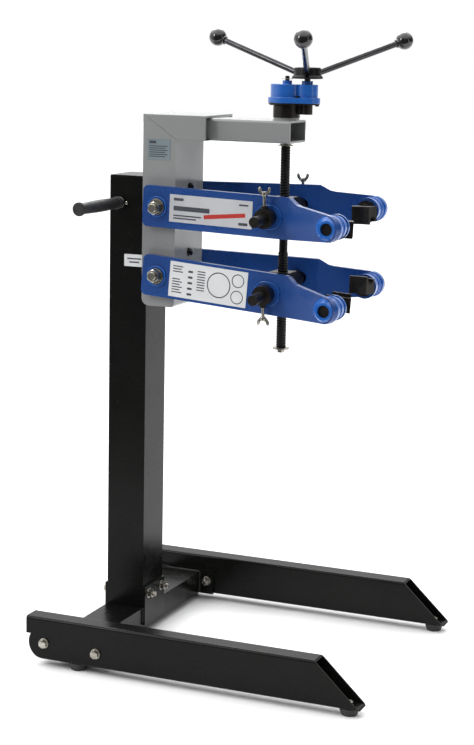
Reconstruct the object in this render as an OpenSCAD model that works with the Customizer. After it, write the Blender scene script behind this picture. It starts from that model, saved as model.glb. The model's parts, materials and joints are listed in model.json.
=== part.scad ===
// Free-standing coil spring compressor.
// Two pairs of arms pivot on a post. One screw with a right-hand and a left-hand thread
// pulls them together. The frame has +X towards the jaws, +Y to the user's left when
// facing the jaws from behind, and +Z up. The origin is on the floor, midway along the legs.
// All sizes are in millimetres and all angles in degrees.

/* [Base] */
// Length of each leg
leg_len = 826; // [690:1:990]
// Width of a leg tube
leg_w = 50.8; // [42:0.1:60]
// Height of a leg tube
leg_h = 101.6; // [85:0.1:120]
// Distance between the centre lines of the two legs
leg_gap = 646; // [520:1:780]
// Wall of the leg tubes, column and cross member
tube_wall = 4; // [2.5:0.1:6]
// Height of a rubber foot
foot_h = 18; // [12:0.5:25]
// Diameter of a rubber foot
foot_d = 45; // [34:0.5:50]
// Distance from a leg's rear end to its rear foot
rear_foot_x = 125; // [118:1:150]
// Distance from a leg's front end to its front foot
front_foot_x = 31; // [24:1:40]
// Length of a leg's sloping front end
front_cut = 108; // [80:1:130]
// Outer radius of a leg tube's corners
leg_round = 7; // [3:0.5:9]
// Radius of a wheel
wheel_r = 43.5; // [38:0.5:46]
// Width of a wheel
wheel_w = 28; // [20:0.5:32]
// Clearance under a wheel when the stand is upright
wheel_lift = 15; // [10:0.5:18]
// Height of the cross member
cross_h = 58; // [48:0.5:70]

/* [Column] */
// Distance from the legs' rear ends to the column's rear face
column_x = 65; // [55:1:90]
// Size of the column from back to front
column_l = 97; // [80:0.5:116]
// Size of the column from side to side
column_w = 111; // [92:0.5:133]
// Height of the column's top above the floor
column_top = 1134.6; // [945:0.1:1360]
// Diameter of the push bar
bar_d = 20; // [16:0.5:24]
// Length of the push bar
bar_len = 524; // [440:1:620]
// Diameter of a rubber grip
grip_d = 28; // [24.5:0.5:34]
// Drop of the push bar below the column's top
bar_drop = 65.6; // [55:0.1:80]

/* [Post, head and beam] */
// Size of the post from back to front
post_l = 84; // [70:0.5:100]
// Size of the post and its head from side to side
post_w = 160; // [134:0.5:188]
// Height of the post and its head together
post_h = 449.6; // [440:0.1:480]
// Height of the post's top above the column's top
post_rise = 146.7; // [140:0.1:176]
// Wall of the post and its head
post_wall = 6; // [4:0.1:8]
// Height of the head tube
head_h = 57.3; // [50:0.1:66]
// Reach of the head in front of the post
head_l = 74; // [60:0.5:90]
// Height of the beam
beam_h = 51.6; // [44:0.1:56]
// Size of the beam from side to side
beam_w = 103; // [86:0.5:120]
// Length of the beam in front of the head
beam_len = 196.6; // [190:0.1:206]
// Wall of the beam
beam_wall = 5; // [3:0.1:7]
// Outer radius of the beam's corners
beam_round = 7; // [3:0.5:9]
// Length of the beam inside the head
beam_inside = 64; // [40:1:68]

/* [Arms] */
// Thickness of an arm plate
arm_t = 12.7; // [10:0.1:14]
// Half of an arm's height at its pivot
arm_half = 48; // [44:0.5:54]
// Distance along an arm from its pivot to its bend
bend_l = 331; // [318:1:350]
// Distance along an arm from its bend to the centre of its sleeve
tip_l = 132; // [120:1:150]
// Drop of the sleeve's centre below the arm's own line
tip_drop = 8; // [0:0.5:12]
// Outer diameter of an arm's sleeve
sleeve_d = 54; // [50:0.5:58]
// Turn outwards of an arm's rear stretch
arm_splay = 1.5; // [0:0.1:2]
// Further turn outwards in front of the bend
arm_bend = 24.5; // [18:0.5:28]
// Gap between the post and an arm
arm_gap = 5; // [4.6:0.1:8]
// Height of the upper pivots above the lower ones
pivot_rise = 163; // [150:0.5:185]
// Drop of the upper pivots below the post's top
pivot_drop = 212.3; // [206:0.1:225]
// Slope of the upper right arm, up towards its tip
upper_right_pitch = -1.7; // [-2.5:0.1:0]
// Slope of the upper left arm
upper_left_pitch = 1.0; // [0:0.1:1.5]
// Slope of the lower right arm
lower_right_pitch = -4.2; // [-5:0.1:-3]
// Slope of the lower left arm
lower_left_pitch = -1.1; // [-2:0.1:-0.5]
// Diameter of a pivot bolt
pivot_d = 20; // [16:0.5:22]

/* [Screw and trunnions] */
// Distance from the post's front face to the screw
screw_x = 241.8; // [235:0.1:250]
// Diameter of the upper, right-hand thread
upper_thread_d = 23; // [20.5:0.1:25]
// Diameter of the lower, left-hand thread
lower_thread_d = 24; // [21:0.1:26]
// Diameter of the neck between the threads
neck_d = 20; // [16:0.1:20]
// Length of the screw below the beam
screw_drop = 478; // [470:1:500]
// Radial running clearance of a shaft in its bore
running_fit = 0.05; // [0.02:0.01:0.1]
// Side of a square trunnion block
block_w = 52; // [48:0.5:58]
// Height of a trunnion block
block_h = 50; // [42:0.5:56]
// Diameter of a trunnion pin
pin_d = 25; // [22:0.5:27]
// Clearance of a trunnion pin above and below it in an arm's slot
slot_gap = 2.5; // [2.3:0.1:3]
// Half of the distance between the ends of the trunnion pins
pin_reach = 186; // [176:1:196]
// Diameter of a locking collar
collar_d = 46; // [42:0.5:50]
// Length of a locking collar
collar_l = 22; // [18:0.5:26]

/* [Gearbox and handle] */
// Module of the two gears
gear_module = 2; // [1.8:0.05:2.2]
// Teeth on the screw's gear
gear_teeth = 32; // [30:1:33]
// Teeth on the handle's pinion
pinion_teeth = 17; // [16:1:18]
// Wall of the gear case
case_wall = 3; // [2.5:0.1:4]
// Height of the gear case above its base
case_h = 42.5; // [38:0.5:50]
// Diameter of the bearing housing under the gear case
housing_d = 62; // [54:0.5:66]
// Height of the bearing housing
housing_h = 30; // [27:0.5:36]
// Diameter of the handle's hub
hub_d = 60; // [52:0.5:68]
// Distance from the hub's axis to a knob's centre
knob_reach = 252; // [210:1:300]
// Height of the handle's hub
hub_h = 26; // [22:0.5:30]
// Rise of a knob's centre above the spoke's root
knob_rise = 75; // [60:1:95]
// Diameter of a knob
knob_d = 41; // [34:0.5:48]
// Diameter of a spoke
spoke_d = 14; // [11:0.5:16]
// Direction of the first spoke, from +X towards +Y
spoke_turn = -72; // [-180:1:180]

/* [Jaws] */
// Diameter of a jaw's shank
shank_d = 28; // [24:0.5:32]
// Distance from the middle plane to a sleeve's inner end
sleeve_in = 100; // [97:0.5:106]
// Mean radius of the coil that the jaws hold
coil_r = 72; // [66:0.5:74]
// Diameter of the groove for the coil's wire
wire_d = 17; // [12:0.5:18]
// Arc of a jaw's shoe around the coil
shoe_arc = 42; // [30:1:50]

/* [Hidden] */
$fn = 64;
sharp = 0.01;
right = -1;
left = 1;

// Bolts. A large one clamps the base and the column, and a small one the feet and the post.
bolt_d = 12;
bolt_play = 0.4;
bolt_hex = 21;
bolt_head_h = 7.5;
bolt_nut_h = 10;
bolt_tail = 4;
bolt_washer_d = 24;
bolt_washer_t = 2.5;
small_bolt_d = 10;
small_washer_d = 20;
small_washer_t = 2;

// Base
floor_to_leg = foot_h;
leg_top = floor_to_leg + leg_h;
leg_in = leg_gap / 2 - leg_w / 2;
axle_z = wheel_r + wheel_lift;
axle_x = wheel_r + 3.5;
axle_notch = 19.5;
foot_rim = 6;
foot_nut_h = 7;
lug_r = wheel_r - 3;
plate_t = 8;
plate_x0 = axle_x - 25;
plate_x1 = column_x + column_l + 38;
base_bolt_x = plate_x1 - 18;
base_bolt_z = floor_to_leg + 35;
cross_top = floor_to_leg + cross_h;
bracket_t = 6;
bracket_top = cross_top + 53;
bracket_bottom = floor_to_leg + 14;
column_bolt_z = cross_top + 34;
column_bolt_y = column_w / 3;
column_front = column_x + column_l;
cap_t = 4;
bar_wall = 3;
bar_x = column_x + 25;
bar_z = column_top - bar_drop;
grip_wall_end = 4;
grip_root = column_w / 2 + 12;

// Post, head and beam
post_x0 = column_front;
post_x1 = post_x0 + post_l;
post_top = column_top + post_rise;
post_bottom = post_top - post_h;
head_x1 = post_x1 + head_l;
head_z0 = post_top - head_h;
label_t = 0.8;
mitre_wall = post_wall * post_l / head_h;
beam_x1 = head_x1 + beam_len;
beam_x0 = head_x1 - beam_inside;
beam_z0 = post_top - post_wall - beam_h;
beam_top = beam_z0 + beam_h;
frame_bolt_top = post_top - 171;
frame_bolt_low = post_top - 326;

// Arms
pivot_x = post_x0 + post_l / 2 + 5;
upper_z = post_top - pivot_drop;
lower_z = upper_z - pivot_rise;
arm_in = post_w / 2 + arm_gap;
reach = post_x1 + screw_x - pivot_x;
arm_end = 38;
pivot_boss_d = 46;
boss_h = 2.4;
arm_turn = arm_splay + arm_bend;
bend_x = bend_l * cos(arm_splay);
bend_y = arm_in + bend_l * sin(arm_splay);
tip_x = bend_x + tip_l * cos(arm_turn) - arm_t / 2 * sin(arm_turn);
tip_y = bend_y + tip_l * sin(arm_turn) + arm_t / 2 * cos(arm_turn);
sleeve_out = tip_y + 9;
sleeve_end_d = 41;
sleeve_cone = 17;
tip_r = sleeve_d / 2 + 3;
pin_y = arm_in + reach * tan(arm_splay) + arm_t / 2;
slot_r = pin_d / 2 + slot_gap;
slot_play = 9;
slot_rim = 12;
slot_x = reach / cos(arm_splay);
bend_step = 0.2;
washer_gap = 1.6;
washer_t = 3.2;
washer_r = 18.5;
nut_h = 16;
pivot_hex = 32;
pivot_head_h = 13;
pivot_reach = arm_in + arm_t + boss_h + washer_gap + washer_t;
wing_d = 8;

// Trunnions
upper_right_z = upper_z + reach * tan(upper_right_pitch);
upper_left_z = upper_z + reach * tan(upper_left_pitch);
lower_right_z = lower_z + reach * tan(lower_right_pitch);
lower_left_z = lower_z + reach * tan(lower_left_pitch);
upper_block_z = (upper_right_z + upper_left_z) / 2;
lower_block_z = (lower_right_z + lower_left_z) / 2;
upper_roll = atan((upper_left_z - upper_right_z) / (2 * pin_y));
lower_roll = atan((lower_left_z - lower_right_z) / (2 * pin_y));
shoulder_d = 40;
shoulder_y = pin_y - arm_t / 2 - 3;
collar_gap = 4;
collar_y = pin_y + arm_t / 2 + boss_h + collar_gap;
nut_wall = 6;
nut_play = 2.2;
flange_t = 5;

// Screw
screw_axis = post_x1 + screw_x;
screw_low = beam_z0 - screw_drop;
neck_z0 = upper_block_z - 96;
neck_z1 = neck_z0 + 34;
shaft_d = 18;
tail_d = 10;
ring_drop = 7;
washer_d = 39;
ring_d = 36;
ring_t = 2;
ring_hub_d = 26;
race_d = 44;
clip_d = 27;

// Gearbox
spacer_t = 6;
housing_z0 = beam_top + spacer_t;
case_z0 = housing_z0 + housing_h;
base_t = 3.5;
case_z1 = case_z0 + base_t;
case_top = case_z1 + case_h;
gear_gap = gear_module * (gear_teeth + pinion_teeth) / 2;
handle_x = screw_axis + gear_gap;
gear_r = gear_module * (gear_teeth + 2) / 2;
pinion_r = gear_module * (pinion_teeth + 2) / 2;
case_r1 = gear_r + 1 + case_wall;
case_r2 = pinion_r + 3 + case_wall;
gear_t = 15;
gear_z = case_z1 + 14;
flange_r = 5.5;
flange_h = 12.6;
boss_top = case_top + 8;
hub_z0 = boss_top + 5;
spoke_z = hub_z0 + 14;
pinion_shaft_d = 14;
bearing_d = 27;
bearing_h = 22;
case_screw_d = 9;

// Jaws
shoulder_t = 8;
web_h = 12;
wire_drop = 19;

// ---- shared shapes ----

// Everything is drawn from the legs' rear ends, and then moved to the shared origin.
module placed() {
    translate([-leg_len / 2, 0, 0]) children();
}

// A box from one corner to the opposite one.
module span(from, to) {
    translate(from) cube(to - from);
}

// A rod along X, from x0 to x1.
module rod_x(d, x0, x1, y, z, sides = 64) {
    translate([x0, y, z]) rotate([0, 90, 0]) cylinder(d = d, h = x1 - x0, $fn = sides);
}

// A rod along Y, from y0 to y1.
module rod_y(d, y0, y1, x, z, sides = 64) {
    translate([x, y1, z]) rotate([90, 0, 0]) cylinder(d = d, h = y1 - y0, $fn = sides);
}

// A rod along Z, from z0 to z1.
module rod_z(d, z0, z1, x, y, sides = 64) {
    translate([x, y, z0]) cylinder(d = d, h = z1 - z0, $fn = sides);
}

// A rod along Z with its two ends chamfered.
module turned(d, z0, z1, x, y, c) {
    translate([x, y, 0]) rotate_extrude() polygon([
        [0, z0], [d / 2 - c, z0], [d / 2, z0 + c],
        [d / 2, z1 - c], [d / 2 - c, z1], [0, z1]
    ]);
}

// A rectangle with round corners, about the origin.
module rounded(w, h, r) {
    square([w - 2 * r, h], center = true);
    square([w, h - 2 * r], center = true);
    for (x = [-1, 1]) for (y = [-1, 1])
        translate([x * (w / 2 - r), y * (h / 2 - r)]) circle(r = r);
}

// A rectangular tube along X with round corners, open at both ends. Its underside is at z.
module tube_x(x0, x1, y, z, w, h, wall, r) {
    translate([0, y, z + h / 2]) rotate([90, 0, 90]) difference() {
        translate([0, 0, x0]) linear_extrude(x1 - x0) rounded(w, h, r);
        translate([0, 0, x0 - 1]) linear_extrude(x1 - x0 + 2)
            square([w - 2 * wall, h - 2 * wall], center = true);
    }
}

// The right-hand or left-hand copy of what is drawn on the right, at -Y.
module on_side(side) {
    if (side == left) mirror([0, 1, 0]) children();
    else children();
}

// ---- base ----

module leg(side) color("#141416") placed() translate([0, side * leg_gap / 2, 0])
    difference() {
        tube_x(0, leg_len, 0, floor_to_leg, leg_w, leg_h, tube_wall, leg_round);
        leg_waste();
        span([-1, -leg_w / 2 + tube_wall, floor_to_leg - 1],
             [axle_x + wheel_r + 8, leg_w / 2 - tube_wall, floor_to_leg + tube_wall + 1]);
        rod_y(bolt_d + bolt_play, -leg_w, leg_w, axle_x, axle_z);
        rod_y(bolt_d + bolt_play, -leg_w, leg_w, base_bolt_x, base_bolt_z);
        for (x = [rear_foot_x, leg_len - front_foot_x])
            rod_z(small_bolt_d + bolt_play, 0, floor_to_leg + tube_wall + 1, x, 0);
    }

// What is cut off a leg: its sloping front end and its lower rear corner, where a round lug
// is left for the axle.
module leg_waste() {
    slope = front_cut / leg_h;
    translate([0, leg_w, 0]) rotate([90, 0, 0]) linear_extrude(2 * leg_w) {
        polygon([
            [leg_len + slope, floor_to_leg - 1], [leg_len + leg_h, floor_to_leg - 1],
            [leg_len + leg_h, leg_top + 1], [leg_len - front_cut - slope, leg_top + 1]
        ]);
        difference() {
            translate([-1, floor_to_leg - 1])
                square([axle_x + 1, axle_z + axle_notch - floor_to_leg + 1]);
            translate([axle_x, axle_z]) circle(r = lug_r);
        }
    }
}

module right_leg() leg(right);
module left_leg() leg(left);

module cross_member() color("#141416") placed() difference() {
    span([column_x, -leg_in + plate_t, floor_to_leg],
         [column_front, leg_in - plate_t, cross_top]);
    span([column_x + tube_wall, -leg_gap, floor_to_leg + tube_wall],
         [column_front - tube_wall, leg_gap, cross_top - tube_wall]);
}

module end_plates() color("#141416") placed() for (side = [right, left])
    difference() {
        translate([0, side * (leg_in - plate_t / 2), 0])
            span([plate_x0, -plate_t / 2, floor_to_leg],
                 [plate_x1, plate_t / 2, cross_top + 7]);
        rod_y(bolt_d + bolt_play, -leg_gap, leg_gap, axle_x, axle_z);
        rod_y(bolt_d + bolt_play, -leg_gap, leg_gap, base_bolt_x, base_bolt_z);
    }

// Runs its children at the four feet.
module at_feet() {
    for (side = [right, left])
        for (x = [rear_foot_x, leg_len - front_foot_x])
            translate([x, side * leg_gap / 2, 0]) children();
}

module rubber_feet() color("#1c1c1c") placed() at_feet() rotate_extrude() difference() {
    polygon([
        [0, 0], [foot_d / 2 - foot_rim, 0], [foot_d / 2 - foot_rim + 2, 2],
        [foot_d / 2, foot_h - 3], [foot_d / 2 - 2, foot_h], [0, foot_h]
    ]);
    translate([-1, -1]) square([9.5, 9]);
    translate([-1, -1]) square([6.2, foot_h + 2]);
}

module foot_bolts() color("silver") placed() at_feet() {
    seat = floor_to_leg + tube_wall;
    nut_seat = seat + small_washer_t;
    rod_z(small_bolt_d, 3, nut_seat + foot_nut_h + 3, 0, 0);
    rod_z(15.5, 2, 7.8, 0, 0);
    rod_z(small_washer_d, seat, nut_seat, 0, 0);
    translate([0, 0, nut_seat]) cylinder(d = 18.5, h = foot_nut_h, $fn = 6);
}

// A bolt along Y that clamps a leg: its head is outside and its nut is inside.
module leg_bolt(side, x, z) on_side(side) {
    outer = -leg_gap / 2 - leg_w / 2;
    inner = -leg_in + plate_t;
    washer = bolt_washer_t;
    rod_y(bolt_d, outer - washer - sharp, inner + washer + bolt_nut_h + bolt_tail, x, z);
    rod_y(bolt_washer_d, outer - washer, outer, x, z);
    rod_y(bolt_hex, outer - washer - bolt_head_h, outer - washer, x, z, 6);
    rod_y(bolt_washer_d, inner, inner + washer, x, z);
    rod_y(bolt_hex, inner + washer, inner + washer + bolt_nut_h, x, z, 6);
}

module base_bolts() color("silver") placed() for (side = [right, left])
    leg_bolt(side, base_bolt_x, base_bolt_z);

module axle_bolts() color("silver") placed() for (side = [right, left])
    leg_bolt(side, axle_x, axle_z);

module wheel(side) color("#222222") placed() translate([axle_x, side * leg_gap / 2, axle_z])
    rotate([90, 0, 0]) rotate_extrude() {
        bore = bolt_d / 2 + running_fit;
        translate([bore, -wheel_w / 2 - 2]) square([9, wheel_w + 4]);
        translate([bore + 9 - sharp, -4]) square([wheel_r - bore - 18, 8]);
        polygon([
            [wheel_r - 12, -wheel_w / 2 + 1], [wheel_r - 4, -wheel_w / 2],
            [wheel_r, -wheel_w / 2 + 5], [wheel_r, wheel_w / 2 - 5],
            [wheel_r - 4, wheel_w / 2], [wheel_r - 12, wheel_w / 2 - 1]
        ]);
    }

module right_wheel() wheel(right);
module left_wheel() wheel(left);

module column_brackets() color("#141416") placed() for (x = [column_x - bracket_t, column_front])
    difference() {
        span([x, -column_w / 2, bracket_bottom], [x + bracket_t, column_w / 2, bracket_top]);
        for (y = [-column_bolt_y, column_bolt_y])
            rod_x(bolt_d + bolt_play, x - 1, x + bracket_t + 1, y, column_bolt_z);
    }

module column_bolts() color("silver") placed() for (y = [-column_bolt_y, column_bolt_y]) {
    back = column_x - bracket_t;
    front = column_front + bracket_t;
    washer = bolt_washer_t;
    rod_x(bolt_d, back - washer - sharp, front + washer + bolt_nut_h + 2 * bolt_tail, y, column_bolt_z);
    rod_x(bolt_washer_d, back - washer, back, y, column_bolt_z);
    rod_x(bolt_hex, back - washer - bolt_head_h, back - washer, y, column_bolt_z, 6);
    rod_x(bolt_washer_d, front, front + washer, y, column_bolt_z);
    rod_x(bolt_hex, front + washer, front + washer + bolt_nut_h, y, column_bolt_z, 6);
}

// ---- column ----

module column() color("#141416") placed() difference() {
    span([column_x, -column_w / 2, cross_top], [column_front, column_w / 2, column_top - cap_t]);
    span([column_x + tube_wall, -column_w / 2 + tube_wall, cross_top - 1],
         [column_front - tube_wall, column_w / 2 - tube_wall, column_top]);
    for (y = [-column_bolt_y, column_bolt_y])
        rod_x(bolt_d + bolt_play, column_x - 1, column_front + 1, y, column_bolt_z);
    for (z = [frame_bolt_top, frame_bolt_low])
        rod_x(small_bolt_d + bolt_play, column_x - 1, column_front + 1, 0, z);
    rod_y(bar_d + 0.2, -column_w, column_w, bar_x, bar_z);
}

module column_cap() color("#141416") placed()
    span([column_x, -column_w / 2, column_top - cap_t], [column_front, column_w / 2, column_top]);

module push_bar() color("silver") placed() difference() {
    rod_y(bar_d, -bar_len / 2, bar_len / 2, bar_x, bar_z);
    rod_y(bar_d - 2 * bar_wall, -bar_len, bar_len, bar_x, bar_z);
}

// Each grip is a closed sleeve over one end of the push bar, with a flared end.
module grips() color("#1c1c1c") placed() for (side = [right, left])
    translate([bar_x, side * grip_root, bar_z]) rotate([side == left ? -90 : 90, 0, 0])
        rotate_extrude() {
            length = bar_len / 2 + grip_wall_end - grip_root;
            difference() {
                polygon([
                    [0, 0], [grip_d / 2 - 1, 0], [grip_d / 2, 2], [grip_d / 2 + 0.6, length * 0.6],
                    [grip_d / 2 - 0.8, length - 14], [grip_d / 2 + 2, length - 7],
                    [grip_d / 2 + 2, length - 2], [grip_d / 2, length], [0, length]
                ]);
                translate([-1, -1]) square([bar_d / 2 + 1, length - grip_wall_end + 1]);
            }
        }

// ---- post, head and beam ----

// Side outline of the post: the top is mitred and the bottom corners are round.
module post_side(inset) {
    r0 = 18 - inset;
    r1 = 8;
    x0 = post_x0 + inset;
    x1 = post_x1 - inset;
    z0 = post_bottom + inset;
    slope = head_h / post_l;
    difference() {
        polygon([[x0, z0], [x1, z0], [x1, post_top - (x1 - post_x0) * slope],
                 [x0, post_top - (x0 - post_x0) * slope]]);
        difference() {
            translate([x0 - 1, z0 - 1]) square([r0 + 1, r0 + 1]);
            translate([x0 + r0, z0 + r0]) circle(r = r0);
        }
        difference() {
            translate([x1 - r1, z0 - 1]) square([r1 + 1, r1 + 1]);
            translate([x1 - r1, z0 + r1]) circle(r = r1);
        }
    }
}

module post() color("#b9bcbe") placed() difference() {
    translate([0, post_w / 2, 0]) rotate([90, 0, 0]) linear_extrude(post_w) post_side(0);
    translate([0, post_w / 2 - post_wall, 0]) rotate([90, 0, 0])
        linear_extrude(post_w - 2 * post_wall) post_side(post_wall);
    for (z = [upper_z, lower_z])
        rod_y(pivot_d + 0.4, -post_w, post_w, pivot_x, z);
    for (z = [frame_bolt_top, frame_bolt_low])
        rod_x(small_bolt_d + bolt_play, post_x0 - 1, post_x1 + 1, 0, z);
}

// The head is mitred to the post. In front of the post it is open below, and the beam is
// welded up under its top.
module head() color("#b9bcbe") placed() difference() {
    translate([0, post_w / 2, 0]) rotate([90, 0, 0]) linear_extrude(post_w)
        polygon([[post_x0, post_top], [post_x1, head_z0], [head_x1, head_z0], [head_x1, post_top]]);
    translate([0, post_w / 2 - post_wall, 0]) rotate([90, 0, 0])
        linear_extrude(post_w - 2 * post_wall) polygon([
            [post_x0 + mitre_wall, post_top - post_wall],
            [post_x1 - mitre_wall, head_z0 + post_wall], [post_x1 + 1, head_z0 + post_wall],
            [post_x1 + 1, head_z0 - 1], [head_x1 + 1, head_z0 - 1],
            [head_x1 + 1, post_top - post_wall]
        ]);
}

// The beam carries a low round seat for the bearing housing.
module beam() color("#b9bcbe") placed() difference() {
    union() {
        tube_x(beam_x0, beam_x1, 0, beam_z0, beam_w, beam_h, beam_wall, beam_round);
        rod_z(housing_d - 2, beam_top - 1, housing_z0, screw_axis, 0);
    }
    rod_z(neck_d + 8, beam_z0 - 1, housing_z0 + 1, screw_axis, 0);
}

module frame_bolts() color("silver") placed() for (z = [frame_bolt_top, frame_bolt_low]) {
    washer = small_washer_t;
    rod_x(small_bolt_d, column_x - washer - 10, post_x1 + washer, 0, z);
    rod_x(small_washer_d, column_x - washer, column_x, 0, z);
    rod_x(18, column_x - washer - 8, column_x - washer, 0, z, 6);
    rod_x(small_washer_d, post_x1, post_x1 + washer, 0, z);
    rod_x(17, post_x1 + washer, post_x1 + washer + 6.4, 0, z, 6);
}

// Two blank plates: one on the post's right face and one on the column's right face.
module data_plates() color("#c8cdd0") placed() {
    translate([post_x0 + 12, -post_w / 2 - label_t, post_top - 105]) cube([58, label_t, 48]);
    translate([column_front - 58, -column_w / 2 - label_t, column_top - 216])
        cube([53, label_t, 29]);
}

// ---- pivots ----

module pivot_bolts() color("silver") placed() for (z = [upper_z, lower_z]) {
    rod_y(pivot_d, -pivot_reach - nut_h - 8, pivot_reach + 1, pivot_x, z);
    rod_y(pivot_hex, pivot_reach, pivot_reach + pivot_head_h, pivot_x, z, 6);
}

module pivot_nuts() color("silver") placed() for (z = [upper_z, lower_z]) difference() {
    rod_y(pivot_hex, -pivot_reach - nut_h, -pivot_reach, pivot_x, z, 6);
    rod_y(pivot_d, -pivot_reach - nut_h - 1, 0, pivot_x, z);
}

// The rocker of one arm is a washer on each side of its plate. It tips with the arm, and the
// arm swings outwards between its two washers.
module rocker(side, z, pitch) color("silver") placed() on_side(side)
    translate([pivot_x, 0, z]) rotate([0, -pitch, 0]) difference() {
        union() {
            rod_y(2 * washer_r, -arm_in + washer_gap, -arm_in + arm_gap - 0.4, 0, 0);
            rod_y(2 * washer_r, -arm_in - arm_t - boss_h - washer_gap - washer_t,
                  -arm_in - arm_t - boss_h - washer_gap, 0, 0);
        }
        rod_y(pivot_d + 2 * running_fit, -2 * arm_in, 0, 0, 0);
    }

module right_upper_rocker() rocker(right, upper_z, upper_right_pitch);
module left_upper_rocker() rocker(left, upper_z, upper_left_pitch);
module right_lower_rocker() rocker(right, lower_z, lower_right_pitch);
module left_lower_rocker() rocker(left, lower_z, lower_left_pitch);

// ---- arms ----

// A flat plate stood on edge: the outline is in X and Z, and the plate lies from y = -t to 0.
module upright(t) {
    rotate([90, 0, 0]) linear_extrude(t) children();
}

// Puts its children in an arm's own frame: X along the arm from its pivot, on the middle plane.
module on_arm(side, z, pitch) {
    on_side(side) translate([pivot_x, 0, z]) rotate([0, -pitch, 0]) children();
}

// Puts its children on the inner face of an arm's rear stretch.
module on_rear() {
    translate([0, -arm_in, 0]) rotate([0, 0, -arm_splay]) children();
}

module rear_outline() {
    corner = 13;
    difference() {
        translate([-arm_end, -arm_half]) square([arm_end + bend_l, 2 * arm_half]);
        for (s = [-1, 1]) difference() {
            translate([-arm_end - 1, s * (arm_half + 1) - (corner + 1) / 2 - s * (corner + 1) / 2])
                square(corner + 1);
            translate([-arm_end + corner, s * (arm_half - corner)]) circle(r = corner);
        }
    }
}

module front_outline() {
    union() {
        polygon([
            [0, -arm_half + bend_step], [tip_l, -tip_drop - tip_r], [tip_l, -tip_drop + tip_r],
            [38, arm_half - 16], [26, arm_half - 13], [14, arm_half - 6], [5, arm_half - 1.2],
            [0, arm_half - bend_step]
        ]);
        translate([tip_l, -tip_drop]) circle(r = tip_r);
    }
}

module arm(side, z, pitch) color("#2f6fc0") placed() on_arm(side, z, pitch) difference() {
    union() {
        on_rear() {
            upright(arm_t) rear_outline();
            rod_y(pivot_boss_d, -arm_t - boss_h, -arm_t + 1, 0, 0);
            for (x = [slot_x - 1, slot_x + slot_play])
                rod_y(2 * (slot_r + slot_rim), -arm_t - boss_h, -arm_t + 1, x, 0);
            span([slot_x - 1, -arm_t - boss_h, -slot_r - slot_rim],
                 [slot_x + slot_play, -arm_t + 1, slot_r + slot_rim]);
        }
        translate([bend_x, -bend_y, 0]) rotate([0, 0, -arm_turn]) upright(arm_t) front_outline();
        translate([tip_x, -sleeve_in, -tip_drop]) rotate([90, 0, 0]) rotate_extrude() polygon([
            [0, 0], [sleeve_d / 2, 0], [sleeve_d / 2, sleeve_out - sleeve_in - sleeve_cone],
            [sleeve_end_d / 2, sleeve_out - sleeve_in], [0, sleeve_out - sleeve_in]
        ]);
        rod_y(sleeve_d + 4, -sleeve_in - 8, -sleeve_in, tip_x, -tip_drop);
    }
    on_rear() {
        rod_y(pivot_d + 3, -arm_t - boss_h - 1, 1, 0, 0);
        for (x = [slot_x - 1, slot_x + slot_play])
            rod_y(2 * slot_r, -arm_t - boss_h - 1, 1, x, 0);
        span([slot_x - 1, -arm_t - boss_h - 1, -slot_r], [slot_x + slot_play, 1, slot_r]);
    }
    rod_y(shank_d + 2 * running_fit, -sleeve_out - 30, 0, tip_x, -tip_drop);
}

module right_upper_arm() arm(right, upper_z, upper_right_pitch);
module left_upper_arm() arm(left, upper_z, upper_left_pitch);
module right_lower_arm() arm(right, lower_z, lower_right_pitch);
module left_lower_arm() arm(left, lower_z, lower_left_pitch);

// A blank plate on the outer face of a right-hand arm.
module arm_plate(z, pitch, x0, length, height) color("#d9dadc") placed()
    on_arm(right, z, pitch) on_rear() translate([x0, -arm_t - label_t, -height / 2])
        cube([length, label_t, height]);

module upper_arm_plate() arm_plate(upper_z, upper_right_pitch, 32, 210, 64);
module lower_arm_plate() arm_plate(lower_z, lower_right_pitch, 34, 199, 83);

// ---- trunnions, nuts and collars ----

// Puts its children in a trunnion's own frame, rolled with the arms' two heights.
module on_trunnion(z, roll) {
    translate([screw_axis, 0, z]) rotate([roll, 0, 0]) children();
}

module trunnion(z, roll, thread_d) color("#2a2a2c") placed() on_trunnion(z, roll) difference() {
    union() {
        span([-block_w / 2, -block_w / 2, -block_h / 2], [block_w / 2, block_w / 2, block_h / 2]);
        rod_y(shoulder_d, -shoulder_y, shoulder_y, 0, 0);
        rod_y(pin_d, -pin_reach, pin_reach, 0, 0);
    }
    rod_z(thread_d + 2 * nut_wall + 2 * nut_play, -block_h, block_h, 0, 0);
}

module upper_trunnion() trunnion(upper_block_z, upper_roll, upper_thread_d);
module lower_trunnion() trunnion(lower_block_z, lower_roll, lower_thread_d);

// A flanged nut. It stays square to the screw while its block rolls under the flange.
module flanged_nut(z, roll, thread_d) color("#4a4238") placed() translate([screw_axis, 0, z])
    difference() {
        seat = block_h / 2 * cos(roll) + block_w / 2 * sin(abs(roll));
        union() {
            rod_z(thread_d + 2 * nut_wall, -block_h / 2, seat + 1, 0, 0);
            span([-block_w / 2, -block_w / 2, seat], [block_w / 2, block_w / 2, seat + flange_t]);
        }
        rod_z(thread_d + 2 * running_fit, -block_h, block_h, 0, 0);
    }

module upper_nut() flanged_nut(upper_block_z, upper_roll, upper_thread_d);
module lower_nut() flanged_nut(lower_block_z, lower_roll, lower_thread_d);

// A locking collar on a trunnion pin. Its wing screw is above the pin on the upper pair and
// below it on the lower pair.
module collar(side, z, roll, up) color("#2a2a2c") placed() on_trunnion(z, roll) on_side(side)
    mirror([0, 0, up < 0 ? 1 : 0]) difference() {
        union() {
            rod_y(collar_d, -collar_y - collar_l, -collar_y, 0, 0);
            rod_z(16, 0, collar_d / 2 + 5, 0, -collar_y - collar_l / 2);
        }
        rod_y(pin_d + 2 * running_fit, -pin_reach - 30, 0, 0, 0);
        rod_z(wing_d + 2 * running_fit, 0, collar_d, 0, -collar_y - collar_l / 2);
    }

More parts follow.
